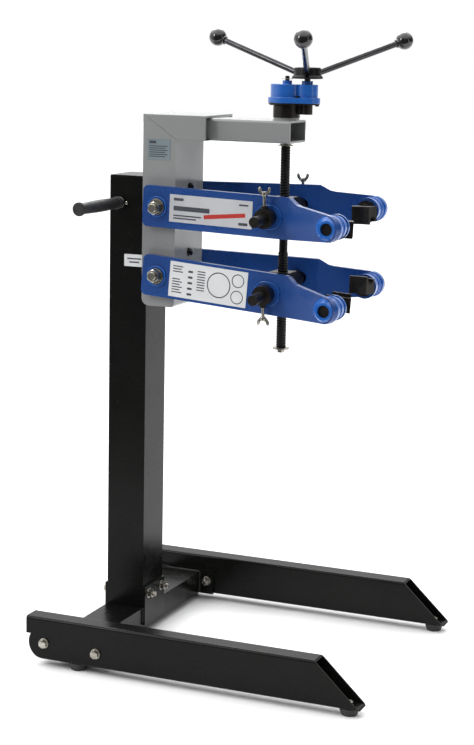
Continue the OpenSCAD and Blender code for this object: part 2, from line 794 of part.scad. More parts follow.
module right_upper_collar() collar(right, upper_block_z, upper_roll, 1);
module left_upper_collar() collar(left, upper_block_z, upper_roll, 1);
module right_lower_collar() collar(right, lower_block_z, lower_roll, -1);
module left_lower_collar() collar(left, lower_block_z, lower_roll, -1);

// A wing screw: a shaft, a hub and two wings.
module wing_screw(side, z, roll, up) color("#c9ccd0") placed() on_trunnion(z, roll) on_side(side)
    translate([0, -collar_y - collar_l / 2, 0]) mirror([0, 0, up < 0 ? 1 : 0]) {
        tip = pin_d / 2 + 0.4;
        hub = collar_d / 2 + 27;
        rod_z(wing_d, tip, hub + 8, 0, 0);
        rod_z(13, hub, hub + 10, 0, 0);
        for (s = [-1, 1]) rotate([90, 0, 0]) translate([0, 0, -2]) linear_extrude(4)
            polygon([
                [s * 3, hub + 1], [s * 7, hub + 2], [s * 14, hub + 11], [s * 15, hub + 18],
                [s * 12, hub + 21], [s * 8, hub + 19], [s * 3, hub + 9]
            ]);
    }

module right_upper_wing_screw() wing_screw(right, upper_block_z, upper_roll, 1);
module left_upper_wing_screw() wing_screw(left, upper_block_z, upper_roll, 1);
module right_lower_wing_screw() wing_screw(right, lower_block_z, lower_roll, -1);
module left_lower_wing_screw() wing_screw(left, lower_block_z, lower_roll, -1);

// ---- screw and gearbox ----

module lead_screw() color("#303033") placed() {
    turned(lower_thread_d, screw_low, neck_z0, screw_axis, 0, 1.5);
    rod_z(neck_d, neck_z0 - 1, neck_z1 + 1, screw_axis, 0);
    turned(upper_thread_d, neck_z1, beam_z0 - ring_drop, screw_axis, 0, 1);
    rod_z(neck_d, beam_z0 - ring_drop - 1, housing_z0 + 4, screw_axis, 0);
    rod_z(shaft_d, housing_z0 + 3, case_top - 8, screw_axis, 0);
    turned(tail_d, case_top - 9, boss_top + 10.5, screw_axis, 0, 1);
}

// The washer and bolt at the screw's lower end, the collar under the beam, the thrust race
// in the bearing housing and the clip at the top. All turn with the screw.
module screw_washers() color("#8d9196") placed() {
    rod_z(washer_d, screw_low - 4, screw_low, screw_axis, 0);
    translate([screw_axis, 0, screw_low - 12]) cylinder(d = 19, h = 8, $fn = 6);
    difference() {
        union() {
            rod_z(ring_d, beam_z0 - ring_drop, beam_z0 - ring_drop + ring_t, screw_axis, 0);
            rod_z(ring_hub_d, beam_z0 - ring_drop + ring_t, beam_z0 - 0.5, screw_axis, 0);
        }
        rod_z(neck_d, beam_z0 - ring_drop - 1, beam_z0, screw_axis, 0);
    }
    difference() {
        rod_z(race_d, housing_z0 + 6, housing_z0 + 20, screw_axis, 0);
        rod_z(shaft_d, housing_z0, housing_z0 + 30, screw_axis, 0);
    }
    difference() {
        rod_z(clip_d, boss_top + 3, boss_top + 4.4, screw_axis, 0);
        rod_z(tail_d, boss_top, boss_top + 6, screw_axis, 0);
    }
}

// Points of one involute tooth, symmetric about the X axis.
function involute(base, r) = let (t = sqrt(max(r * r / (base * base) - 1, 0)))
    t * 180 / PI - atan(t);

function tooth(teeth, slack) = let (
    pitch = gear_module * teeth / 2,
    base = pitch * cos(20),
    root = pitch - 1.2 * gear_module,
    top = pitch + 0.95 * gear_module,
    half = 90 / teeth - slack + involute(base, pitch),
    start = max(base, root),
    radii = [for (i = [0:5]) start + (top - start) * i / 5]
) concat(
    [[root, -half - 0.2]],
    [for (r = radii) [r, -half + involute(base, r)]],
    [for (i = [5:-1:0]) [radii[i], half - involute(base, radii[i])]],
    [[root, half + 0.2]]
);

module gear_outline(teeth, turn) {
    slack = 0.5 * 17 / teeth;
    rotate(turn) polygon([
        for (n = [0:teeth - 1]) for (p = tooth(teeth, slack))
            p[0] * [cos(p[1] + n * 360 / teeth), sin(p[1] + n * 360 / teeth)]
    ]);
}

module screw_gear() color("#77797d") placed() translate([screw_axis, 0, gear_z]) difference() {
    linear_extrude(gear_t) gear_outline(gear_teeth, 0);
    translate([0, 0, -1]) cylinder(d = shaft_d, h = gear_t + 2);
}

// The housing that holds the thrust race, with the pinion's lower bearing on a web.
module bearing_housing() color("#2a2a2c") placed() difference() {
    union() {
        rod_z(housing_d, housing_z0, case_z0, screw_axis, 0);
        rod_z(bearing_d, case_z0 - bearing_h, case_z0, handle_x, 0);
        span([screw_axis, -8, case_z0 - bearing_h], [handle_x, 8, case_z0]);
    }
    rod_z(neck_d + 2, housing_z0 - 1, case_z0, screw_axis, 0);
    rod_z(race_d + 2, housing_z0 + 5, case_z0 + 1, screw_axis, 0);
    rod_z(pinion_shaft_d + 2 * running_fit, case_z0 - bearing_h + 3, case_z0 + 1, handle_x, 0);
}

// Outline around the two gears, with straight flanks between a large and a small circle.
module case_outline(r1, r2) {
    lean = acos((r1 - r2) / gear_gap);
    union() {
        circle(r = r1);
        translate([gear_gap, 0]) circle(r = r2);
        polygon([
            r1 * [cos(lean), sin(lean)], r1 * [cos(lean), -sin(lean)],
            [gear_gap, 0] + r2 * [cos(lean), -sin(lean)],
            [gear_gap, 0] + r2 * [cos(lean), sin(lean)]
        ]);
    }
}

// Outline of the case's body: a large and a small circle that meet in a waist.
module case_body(r1, r2) {
    union() {
        circle(r = r1);
        translate([gear_gap, 0]) circle(r = r2);
    }
}

module gear_base() color("#2a2a2c") placed() difference() {
    translate([screw_axis, 0, case_z0]) linear_extrude(base_t)
        case_outline(case_r1 + flange_r - 1, case_r2 + flange_r - 1);
    rod_z(shaft_d + 3, case_z0 - 1, case_z1 + 1, screw_axis, 0);
    rod_z(pinion_shaft_d + 2 * running_fit, case_z0 - 1, case_z1 + 1, handle_x, 0);
}

module gear_case() color("#3a7cc9") placed() difference() {
    union() {
        translate([screw_axis, 0, case_z1]) linear_extrude(case_h) case_body(case_r1, case_r2);
        translate([screw_axis, 0, case_z1]) linear_extrude(flange_h)
            case_outline(case_r1 + flange_r, case_r2 + flange_r);
        rod_z(22, case_top - 1, boss_top, screw_axis, 0);
        rod_z(26, case_top - 1, boss_top, handle_x, 0);
    }
    translate([screw_axis, 0, case_z1 - 1]) linear_extrude(case_h - case_wall - 2)
        case_body(case_r1 - case_wall, case_r2 - case_wall);
    rod_z(tail_d + 2 * running_fit, case_top - 20, boss_top + 1, screw_axis, 0);
    rod_z(pinion_shaft_d + 2 * running_fit, case_top - 20, boss_top + 1, handle_x, 0);
}

// Two screws on the flange, beside the waist, and four more that are driven from below.
module case_screws() color("#26262a") placed() {
    waist_x = (gear_gap * gear_gap + case_r1 * case_r1 - case_r2 * case_r2) / (2 * gear_gap);
    waist_y = sqrt(case_r1 * case_r1 - waist_x * waist_x);
    lower_r = case_r1 + flange_r - 1 - case_screw_d / 2;
    for (s = [-1, 1])
        rod_z(case_screw_d, case_z1 + flange_h, case_z1 + flange_h + 4.5,
              screw_axis + waist_x + 1.5, s * (waist_y + case_screw_d / 2 + 2.5));
    for (a = [110, 180, 250])
        rod_z(case_screw_d, case_z0 - 3, case_z0,
              screw_axis + lower_r * cos(a), lower_r * sin(a));
    rod_z(case_screw_d, case_z0 - 3, case_z0,
          handle_x + case_r2 + flange_r - 1 - case_screw_d / 2, 0);
}

module pinion() color("#8a8c90") placed() {
    translate([handle_x, 0, gear_z]) linear_extrude(gear_t)
        gear_outline(pinion_teeth, 180 - 180 / pinion_teeth);
    rod_z(pinion_shaft_d, case_z0 - bearing_h + 4, hub_z0 + 4, handle_x, 0);
}

// ---- handle ----

module hub_body() translate([handle_x, 0, hub_z0]) rotate_extrude() polygon([
    [0, 0], [hub_d / 2 + 4.5, 0], [hub_d / 2 + 6, 2], [hub_d / 2 + 5.5, 4],
    [hub_d / 2 + 1.5, 8], [hub_d / 2, hub_h - 2], [hub_d / 2 - 2, hub_h], [0, hub_h]
]);

module handle_hub() color("#4b4c50") placed() difference() {
    hub_body();
    rod_z(pinion_shaft_d, hub_z0 - 1, hub_z0 + 4, handle_x, 0);
}

spoke_lean = atan(knob_rise / (knob_reach - hub_d / 2));
spoke_len = norm([knob_rise, knob_reach - hub_d / 2]);

// Runs its children at the root of each of the three spokes, with +Z along the spoke.
module at_spokes() {
    for (n = [0:2]) translate([handle_x, 0, spoke_z]) rotate([0, 0, spoke_turn + 120 * n])
        translate([hub_d / 2, 0, 0]) rotate([0, 90 - spoke_lean, 0]) children();
}

module spokes() color("#77797d") placed() difference() {
    at_spokes() translate([0, 0, -6]) cylinder(d = spoke_d, h = spoke_len - knob_d / 2 + 8);
    hub_body();
}

module knobs() color("#101012") placed() difference() {
    at_spokes() {
        translate([0, 0, spoke_len]) sphere(d = knob_d);
        translate([0, 0, spoke_len - knob_d / 2 - 2.5]) cylinder(d = 20, h = 8);
    }
    at_spokes() translate([0, 0, -8]) cylinder(d = spoke_d, h = spoke_len - knob_d / 2 + 10);
}

// ---- jaws ----

// A jaw: a shank in the arm's sleeve, a shoulder, and a curved shoe whose groove takes one
// turn of the coil. The groove opens down on an upper jaw and up on a lower one.
module jaw(side, z, pitch, up) color("#232326") placed() on_arm(side, z, pitch) {
    axis_z = -tip_drop;
    rod_y(shank_d, -sleeve_out - 3, -sleeve_in + 1, tip_x, axis_z);
    rod_y(sleeve_d - 8, -sleeve_in + 0.4, -sleeve_in + shoulder_t, tip_x, axis_z);
    translate([tip_x, 0, axis_z]) mirror([0, 0, up < 0 ? 1 : 0]) rotate([0, 0, -90 - shoe_arc / 2])
        rotate_extrude(angle = shoe_arc) difference() {
            translate([coil_r - wire_d / 2 - 6, -wire_drop - 10])
                square([wire_d + 12, wire_drop + 10 + web_h]);
            translate([coil_r, -wire_drop]) circle(d = wire_d);
            translate([coil_r - wire_d / 2, -wire_drop - 12]) square([wire_d, 12]);
            translate([coil_r, -wire_drop - 12]) square([wire_d, 8]);
        }
    neck(axis_z);
}

// The web between a jaw's shoulder and its shoe.
module neck(axis_z) {
    rod_y(shank_d + 2, -sleeve_in + shoulder_t - 1, -coil_r - wire_d / 2 + 2, tip_x, axis_z);
}

module right_upper_jaw() jaw(right, upper_z, upper_right_pitch, 1);
module left_upper_jaw() jaw(left, upper_z, upper_left_pitch, 1);
module right_lower_jaw() jaw(right, lower_z, lower_right_pitch, -1);
module left_lower_jaw() jaw(left, lower_z, lower_left_pitch, -1);

// ---- nodes ----

right_leg();
left_leg();
cross_member();
end_plates();
rubber_feet();
foot_bolts();
base_bolts();
axle_bolts();
right_wheel();
left_wheel();
column_brackets();
column_bolts();
column();
column_cap();
push_bar();
grips();
post();
head();
beam();
frame_bolts();
data_plates();
pivot_bolts();
pivot_nuts();
right_upper_arm();
left_upper_arm();
right_lower_arm();
left_lower_arm();
right_upper_rocker();
left_upper_rocker();
right_lower_rocker();
left_lower_rocker();
upper_arm_plate();
lower_arm_plate();
upper_trunnion();
lower_trunnion();
upper_nut();
lower_nut();
right_upper_collar();
left_upper_collar();
right_lower_collar();
left_lower_collar();
right_upper_wing_screw();
left_upper_wing_screw();
right_lower_wing_screw();
left_lower_wing_screw();
lead_screw();
screw_washers();
screw_gear();
bearing_housing();
gear_base();
gear_case();
case_screws();
pinion();
handle_hub();
spokes();
knobs();
right_upper_jaw();
left_upper_jaw();
right_lower_jaw();
left_lower_jaw();
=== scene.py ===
"""Looks of the free-standing coil spring compressor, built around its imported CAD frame."""

import json
import math

import bmesh
import bpy
from mathutils import Matrix, Vector


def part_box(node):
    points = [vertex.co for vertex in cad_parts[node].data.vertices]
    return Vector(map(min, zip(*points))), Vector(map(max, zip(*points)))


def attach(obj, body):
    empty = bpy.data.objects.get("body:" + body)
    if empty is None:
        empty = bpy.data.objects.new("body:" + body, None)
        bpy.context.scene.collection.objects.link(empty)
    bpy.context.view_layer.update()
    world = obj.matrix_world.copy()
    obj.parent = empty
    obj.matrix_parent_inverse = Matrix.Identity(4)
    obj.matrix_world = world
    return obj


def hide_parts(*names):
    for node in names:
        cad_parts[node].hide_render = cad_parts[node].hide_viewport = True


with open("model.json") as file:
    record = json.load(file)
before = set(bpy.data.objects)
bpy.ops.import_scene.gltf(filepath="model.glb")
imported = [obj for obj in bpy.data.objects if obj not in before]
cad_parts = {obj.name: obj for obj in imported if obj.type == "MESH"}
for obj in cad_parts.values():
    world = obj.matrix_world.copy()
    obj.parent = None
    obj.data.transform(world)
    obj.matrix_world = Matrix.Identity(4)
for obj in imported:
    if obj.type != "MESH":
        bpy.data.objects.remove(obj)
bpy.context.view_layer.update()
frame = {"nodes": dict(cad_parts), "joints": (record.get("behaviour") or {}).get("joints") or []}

MM = 0.001
KNOB_R = 0.0205
FOOT_R = 0.0225
SLEEVE_R = 0.027
HEAD_WALL = 0.006
ARM_SPLAY = math.radians(1.5)
SMOOTH_BELOW = math.radians(38)
SIDES = ("right", "left")
LEVELS = ("upper", "lower")
ARMS = [f"{side}_{level}" for level in LEVELS for side in SIDES]
JOINTS = {joint["name"]: joint for joint in frame["joints"]}


# ---- materials ----

class Nodes:
    """A short way to add and link shader nodes in one material."""

    def __init__(self, name):
        self.material = bpy.data.materials.new(name)
        self.material.use_nodes = True
        self.tree = self.material.node_tree
        self.shader = self.tree.nodes["Principled BSDF"]
        self.coordinates = self.add("ShaderNodeTexCoord").outputs["Object"]

    def add(self, kind, inputs=None, **settings):
        node = self.tree.nodes.new(kind)
        for key, value in settings.items():
            setattr(node, key, value)
        for key, value in (inputs or {}).items():
            if isinstance(value, bpy.types.NodeSocket):
                self.tree.links.new(value, node.inputs[key])
            else:
                node.inputs[key].default_value = value
        return node

    def noise(self, scale, detail=4.0, roughness=0.55, vector=None):
        inputs = {"Vector": vector or self.coordinates, "Scale": scale, "Detail": detail,
                  "Roughness": roughness}
        return self.add("ShaderNodeTexNoise", inputs).outputs["Fac"]

    def ramp(self, value, low, high, start=0.0, end=1.0):
        """Maps value from low..high to start..end."""
        inputs = {"Value": value, "From Min": low, "From Max": high, "To Min": start, "To Max": end}
        return self.add("ShaderNodeMapRange", inputs).outputs["Result"]

    def mix(self, factor, first, second):
        """Blends two colours. The colour sockets of a mix node are its inputs 6 and 7."""
        inputs = {0: factor, 6: first, 7: second}
        return self.add("ShaderNodeMix", inputs, data_type="RGBA").outputs[2]

    def times(self, first, second):
        return self.add("ShaderNodeMath", {0: first, 1: second}, operation="MULTIPLY").outputs[0]

    def plus(self, first, second):
        return self.add("ShaderNodeMath", {0: first, 1: second}, operation="ADD").outputs[0]

    def set(self, **sockets):
        for key, value in sockets.items():
            socket = self.shader.inputs[key.replace("_", " ")]
            if isinstance(value, bpy.types.NodeSocket):
                self.tree.links.new(value, socket)
            else:
                socket.default_value = value

    def bump(self, height, strength, distance):
        inputs = {"Height": height, "Strength": strength, "Distance": distance}
        self.set(Normal=self.add("ShaderNodeBump", inputs).outputs["Normal"])


def rgb(red, green, blue):
    return (red, green, blue, 1.0)


def paint(name, colour, shade, roughness, coat, peel, specular=0.5):
    """Sprayed enamel: a fine orange peel, a slow drift of tone, small scuffs and dust specks."""
    n = Nodes(name)
    scuff_share, speck_share, lift = 0.35, 0.4, 1.35
    drift = n.ramp(n.noise(3.0, 3.0), 0.35, 0.65)
    tone = n.mix(drift, colour, shade)
    scuffs = n.ramp(n.noise(38.0, 8.0, 0.7), 0.62, 0.74)
    specks = n.ramp(n.noise(900.0, 2.0), 0.68, 0.75, 0.0, 0.35)
    pale = rgb(*(min(1.0, c * lift + 0.012) for c in colour[:3]))
    tone = n.mix(n.times(scuffs, scuff_share), tone, pale)
    tone = n.mix(n.times(specks, speck_share), tone, pale)
    rough = n.plus(n.ramp(n.noise(14.0, 6.0), 0.3, 0.7, roughness - 0.05, roughness + 0.06),
                   n.times(scuffs, 0.15))
    n.set(Base_Color=tone, Roughness=rough, Coat_Weight=coat, Coat_Roughness=0.12,
          Specular_IOR_Level=specular)
    n.bump(n.plus(n.noise(700.0, 3.0), n.times(n.noise(90.0, 2.0), 1.5)), peel, 0.00015)
    return n.material


def metal(name, colour, shade, roughness, grain, metallic=1.0):
    """Plated or blackened steel: fine turning marks, blotches of tone and worn patches."""
    n = Nodes(name)
    blotch = 0.6
    stretched = n.add("ShaderNodeMapping", {"Vector": n.coordinates, "Scale": (300.0, 300.0, 2600.0)})
    lines = n.noise(1.0, 3.0, vector=stretched.outputs["Vector"])
    patches = n.ramp(n.noise(45.0, 6.0, 0.65), 0.35, 0.68)
    tone = n.mix(n.times(patches, blotch), colour, shade)
    rough = n.plus(n.ramp(patches, 0.0, 1.0, roughness - 0.04, roughness + 0.08), n.times(lines, 0.08))
    n.set(Base_Color=tone, Roughness=rough, Metallic=metallic)
    n.bump(n.plus(lines, n.times(n.noise(500.0, 3.0), 0.6)), grain, 0.0001)
    return n.material


def rubber(name, colour):
    """Matt moulded rubber with a fine skin texture and faint grey bloom."""
    n = Nodes(name)
    bloom = n.ramp(n.noise(60.0, 5.0), 0.45, 0.75)
    pale = rgb(*(c + 0.03 for c in colour[:3]))
    n.set(Base_Color=n.mix(n.times(bloom, 0.6), colour, pale),
          Roughness=n.ramp(bloom, 0.0, 1.0, 0.5, 0.72))
    n.bump(n.plus(n.noise(1500.0, 4.0), n.times(n.noise(240.0, 3.0), 0.8)), 0.45, 0.0002)
    return n.material


def plastic(name, colour, roughness):
    """Glossy phenolic: almost clean, with faint swirl marks."""
    n = Nodes(name)
    swirl = n.ramp(n.noise(55.0, 7.0, 0.7), 0.5, 0.75)
    n.set(Base_Color=n.mix(n.times(swirl, 0.5), colour, rgb(*(c + 0.012 for c in colour[:3]))),
          Roughness=n.ramp(swirl, 0.0, 1.0, roughness, roughness + 0.12), Coat_Weight=0.6,
          Coat_Roughness=0.05)
    n.bump(n.noise(400.0, 2.0), 0.05, 0.0001)
    return n.material


def foil(name, colour, shade):
    """A printed adhesive plate: satin film with a faint print grain."""
    n = Nodes(name)
    tone = n.mix(n.ramp(n.noise(9.0, 3.0), 0.35, 0.7), colour, shade)
    n.set(Base_Color=tone, Roughness=n.ramp(n.noise(70.0, 4.0), 0.3, 0.7, 0.36, 0.5), Metallic=0.1)
    n.bump(n.noise(1200.0, 2.0), 0.08, 0.0001)
    return n.material


BLACK = paint("black_enamel", rgb(0.003, 0.0034, 0.003), rgb(0.005, 0.0055, 0.0045), 0.25, 0.0, 0.18,
              0.13)
SILVER = paint("silver_enamel", rgb(0.27, 0.275, 0.275), rgb(0.235, 0.24, 0.24), 0.33, 0.25, 0.2)
BLUE = paint("blue_enamel", rgb(0.013, 0.062, 0.25), rgb(0.01, 0.05, 0.21), 0.28, 0.12, 0.2, 0.35)
# Painted light: the arms' blue enamel painted lighter, a lit copy of it that stands for the light falling on
# the sleeves, sleeve bands, boss rims and gear case.
LIT_BLUE = paint("lit_blue_enamel", rgb(0.013, 0.125, 0.49), rgb(0.01, 0.1, 0.41), 0.24, 0.4, 0.2)
ZINC = metal("zinc_plate", rgb(0.4, 0.385, 0.345), rgb(0.2, 0.185, 0.15), 0.2, 0.35)
OXIDE = metal("black_oxide", rgb(0.022, 0.021, 0.02), rgb(0.05, 0.043, 0.037), 0.32, 0.35, 0.85)
STEEL = metal("polished_dark_steel", rgb(0.055, 0.055, 0.058), rgb(0.03, 0.03, 0.032), 0.13, 0.05)
SCREW_STEEL = metal("oiled_screw_steel", rgb(0.016, 0.016, 0.017), rgb(0.032, 0.03, 0.028), 0.3, 0.2, 0.9)
RUBBER = rubber("black_rubber", rgb(0.012, 0.012, 0.0125))
NYLON = rubber("black_nylon", rgb(0.014, 0.014, 0.015))
PHENOLIC = plastic("black_phenolic", rgb(0.006, 0.006, 0.0065), 0.08)
PLATE = foil("pale_plate", rgb(0.56, 0.57, 0.59), rgb(0.46, 0.47, 0.5))
WHITE_PLATE = foil("white_plate", rgb(0.74, 0.75, 0.76), rgb(0.66, 0.67, 0.68))
GREY_PLATE = foil("grey_plate", rgb(0.2, 0.25, 0.27), rgb(0.16, 0.2, 0.22))
INK = foil("grey_ink", rgb(0.035, 0.04, 0.055), rgb(0.06, 0.065, 0.08))
RED_INK = foil("red_ink", rgb(0.5, 0.03, 0.025), rgb(0.42, 0.03, 0.02))
WELD_BLACK = paint("black_weld", rgb(0.005, 0.005, 0.005), rgb(0.009, 0.009, 0.008), 0.33, 0.1, 0.5, 0.35)
WELD_SILVER = paint("silver_weld", rgb(0.25, 0.255, 0.26), rgb(0.2, 0.205, 0.21), 0.42, 0.2, 0.5)


# ---- carried-over CAD nodes ----

def dress(node, material, bevel, segments=2):
    """Gives a CAD node its material and rounds its sharp edges, with no change to its own mesh."""
    piece = frame["nodes"][node]
    mesh = piece.data
    mesh.materials.clear()
    mesh.materials.append(material)
    if "custom_normal" in mesh.attributes:
        mesh.attributes.remove(mesh.attributes["custom_normal"])
    mesh.shade_smooth()
    weld = piece.modifiers.new("weld", "WELD")
    weld.merge_threshold = 0.00001
    flat = piece.modifiers.new("flat", "DECIMATE")
    flat.decimate_type = "DISSOLVE"
    flat.angle_limit = math.radians(0.6)
    edge = piece.modifiers.new("edge", "BEVEL")
    edge.width = bevel * MM
    edge.segments = segments
    edge.limit_method = "ANGLE"
    edge.angle_limit = math.radians(31)
    edge.use_clamp_overlap = True
    normal = piece.modifiers.new("normal", "WEIGHTED_NORMAL")
    normal.keep_sharp = False


# ---- mesh building ----

def piece_from(bm, name, body, material, replaces=(), smooth=True):
    """Makes an object of a finished bmesh and hangs it on its body."""
    bmesh.ops.remove_doubles(bm, verts=bm.verts, dist=0.000004)
    bmesh.ops.recalc_face_normals(bm, faces=bm.faces)
    mesh = bpy.data.meshes.new(name)
    bm.to_mesh(mesh)
    bm.free()
    piece = bpy.data.objects.new(name, mesh)
    bpy.context.scene.collection.objects.link(piece)
    mesh.materials.append(material)
    if smooth:
        mesh.shade_smooth()
        mesh.set_sharp_from_angle(angle=SMOOTH_BELOW)
    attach(piece, body)
    if replaces:
        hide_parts(*replaces)


def along(origin, direction):
    """A matrix that puts +Z along direction, at origin."""
    turn = Vector(direction).to_track_quat("Z", "Y").to_matrix().to_4x4()
    return Matrix.Translation(Vector(origin)) @ turn


def rings(bm, loops, closed_ends=True):
    """Joins loops of points with quads, and fills the two ends."""
    made = [[bm.verts.new(point) for point in loop] for loop in loops]
    count = len(made[0])
    for first, second in zip(made, made[1:]):
        for i in range(count):
            j = (i + 1) % count
            bm.faces.new((first[i], first[j], second[j], second[i]))
    if closed_ends:
        bm.faces.new(reversed(made[0]))
        bm.faces.new(made[-1])
    return made


def lathe(bm, place, profile, segments=48, closed_ends=True):
    """Turns a profile of (radius, height) in metres about place's +Z."""
    loops = []
    for radius, height in profile:
        loops.append([place @ Vector((radius * math.cos(a), radius * math.sin(a), height))
                      for a in (2 * math.pi * i / segments for i in range(segments))])
    return rings(bm, loops, closed_ends)


def join_ends(bm, loops):
    """Joins the last loop of points back to the first, which closes a ring."""
    first, last = loops[0], loops[-1]
    for i in range(len(first)):
        j = (i + 1) % len(first)
        bm.faces.new((last[i], last[j], first[j], first[i]))


def washer(bm, place, outer, inner, thick, edge=0.0004):
    """A flat ring with broken edges, from height 0 to thick."""
    profile = [(inner, 0), (outer - edge, 0), (outer, edge), (outer, thick - edge),
               (outer - edge, thick), (inner, thick)]
    join_ends(bm, lathe(bm, place, profile, 48, closed_ends=False))


def hexagon(bm, place, across, height, bore=0.0):
    """A hexagon head with chamfered corners or, with a bore, a nut with both of its faces chamfered."""
    steps, countersink = 72, 0.0006
    flat = across / 2 * 0.95
    slope = math.tan(math.radians(30))

    def corner(angle):
        inside = (angle + math.pi / 6) % (math.pi / 3) - math.pi / 6
        return across / 2 / math.cos(inside)

    angles = [2 * math.pi * i / steps for i in range(steps)]

    def loop(radius, level):
        return [place @ Vector((radius(a) * math.cos(a), radius(a) * math.sin(a), level(a)))
                for a in angles]

    def drop(angle):
        return (corner(angle) - flat) * slope

    if bore:
        loops = [loop(lambda a: bore, lambda a: 0), loop(lambda a: flat, lambda a: 0),
                 loop(corner, drop)]
    else:
        loops = [loop(corner, lambda a: 0)]
    loops += [loop(corner, lambda a: height - drop(a)), loop(lambda a: flat, lambda a: height)]
    if bore:
        loops += [loop(lambda a: bore + countersink, lambda a: height),
                  loop(lambda a: bore, lambda a: height - countersink)]
    rings(bm, loops, closed_ends=not bore)


def thread(bm, place, radius, length, pitch, depth, hand=1, segments=40, taper=0.0015):
    """A screw thread with flat crests, from height 0 to length, with tapered ends."""
    rows = max(4, int(length / pitch * 10))
    loops = []
    for row in range(rows + 1):
        height = length * row / rows
        loop = []
        for i in range(segments):
            angle = 2 * math.pi * i / segments
            phase = (height / pitch - hand * angle / (2 * math.pi)) % 1.0
            valley = max(0.0, min(1.0, (abs(phase - 0.5) * 2 - 0.4) / 0.28))
            end = min(height, length - height)
            valley = max(valley, 1 - end / taper) if end < taper else valley
            local = radius - depth * valley
            loop.append(place @ Vector((local * math.cos(angle), local * math.sin(angle), height)))
        loops.append(loop)
    rings(bm, loops)


def weld_bead(bm, points, radius):
    """A rippled bead along straight runs between points."""
    ripple = 0.0032
    for start, end in zip(points, points[1:]):
        start, end = Vector(start), Vector(end)
        place = along(start, end - start)
        length = (end - start).length
        count = max(3, int(length / ripple) * 4)
        profile = []
        for i in range(count + 1):
            t = i / count
            wave = 0.82 + 0.18 * abs(math.sin(t * length / ripple * math.pi))
            closing = min(1.0, min(t, 1 - t) * length / (radius * 1.2) + 0.35)
            profile.append((radius * wave * closing, t * length))
        lathe(bm, place, profile, 10)


def bead_loop(bm, path, radius):
    """A round bead along a closed path of points."""
    count, sides = len(path), 8
    loops = []
    for i in range(count):
        ahead = (path[(i + 1) % count] - path[i - 1]).normalized()
        place = along(path[i], ahead)
        loops.append([place @ Vector((radius * math.cos(a), radius * math.sin(a), 0))
                      for a in (2 * math.pi * k / sides for k in range(sides))])
    join_ends(bm, rings(bm, loops, closed_ends=False))


def rounded_plate(bm, place, width, height, thick, corner, edge):
    """A thin plate with rounded corners, centred on place, from 0 to thick."""
    def outline(inset, level):
        points = []
        for cx, cy, start in ((1, 1, 0), (-1, 1, 90), (-1, -1, 180), (1, -1, 270)):
            for step in range(7):
                angle = math.radians(start + 15 * step)
                radius = corner - inset
                points.append(place @ Vector((
                    cx * (width / 2 - corner) + radius * math.cos(angle),
                    cy * (height / 2 - corner) + radius * math.sin(angle), level)))
        return points
    rings(bm, [outline(0, 0), outline(0, thick - edge), outline(edge, thick)])


def middle(node):
    low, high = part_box(node)
    return (low + high) / 2


# ---- the stand ----

STAND_PAINT = ("right_leg", "left_leg", "cross_member", "end_plates", "column_brackets", "column",
               "column_cap")
for stand_node in STAND_PAINT:
    dress(stand_node, BLACK, 1.6 if "leg" in stand_node or stand_node == "column" else 1.0, 3)
for frame_node in ("post", "head", "beam"):
    dress(frame_node, SILVER, 1.8, 3)
dress("push_bar", ZINC, 0.5)
dress("data_plates", GREY_PLATE, 0.2, 1)

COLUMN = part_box("column")
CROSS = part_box("cross_member")
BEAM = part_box("beam")
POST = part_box("post")
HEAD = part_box("head")
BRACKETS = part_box("column_brackets")


def stand_welds():
    """Fillet welds of the cross member, the column brackets and the beam."""
    bm = bmesh.new()
    for sign in (-1, 1):
        y = sign * CROSS[1].y
        corners = [(CROSS[0].x, y, CROSS[0].z + 0.001), (CROSS[1].x, y, CROSS[0].z + 0.001),
                   (CROSS[1].x, y, CROSS[1].z), (CROSS[0].x, y, CROSS[1].z)]
        weld_bead(bm, corners[1:] + corners[:1], 0.0032)
    for x in (BRACKETS[0].x + 0.006, BRACKETS[1].x - 0.006):
        for y in (BRACKETS[0].y, BRACKETS[1].y):
            weld_bead(bm, [(x, y, BRACKETS[0].z + 0.004), (x, y, CROSS[1].z)], 0.003)
    piece_from(bm, "base_welds", "stand", WELD_BLACK)
    bm = bmesh.new()
    half = BEAM[1].y - 0.004
    level = HEAD[1].z - HEAD_WALL
    weld_bead(bm, [(HEAD[1].x, -half, level), (HEAD[1].x, half, level)], 0.0026)
    piece_from(bm, "beam_weld", "stand", WELD_SILVER)


def rubber_feet():
    """Turned rubber feet with a moulded rim, and the zinc bolts that hold them."""
    low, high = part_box("rubber_feet")
    radius = FOOT_R
    height = high.z - low.z
    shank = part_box("foot_bolts")[1].z
    xs = (low.x + radius, high.x - radius)
    ys = (low.y + radius, high.y - radius)
    feet, bolts = bmesh.new(), bmesh.new()
    for x in xs:
        for y in ys:
            place = Matrix.Translation((x, y, low.z))
            lathe(feet, place, [
                (0.0085, 0.008), (0.0085, 0.0006), (0.0092, 0), (radius - 0.0065, 0),
                (radius - 0.0045, 0.0015), (radius - 0.002, height * 0.45),
                (radius - 0.0004, height * 0.75), (radius, height - 0.0045),
                (radius, height - 0.0015), (radius - 0.0012, height), (0.006, height)], 56)
            hexagon(bolts, Matrix.Translation((x, y, 0.0078)) @ Matrix.Rotation(math.pi, 4, "X"),
                    0.0135, 0.0056)
            washer(bolts, Matrix.Translation((x, y, high.z + 0.004)), 0.01, 0.005, 0.002)
            hexagon(bolts, Matrix.Translation((x, y, high.z + 0.006)), 0.016, 0.007, 0.0049)
            thread(bolts, Matrix.Translation((x, y, 0.0075)), 0.005, shank - 0.0075, 0.0015, 0.0006)
    piece_from(feet, "rubber_feet_turned", "stand", RUBBER, ["rubber_feet"])
    piece_from(bolts, "foot_bolts_turned", "stand", ZINC, ["foot_bolts"])


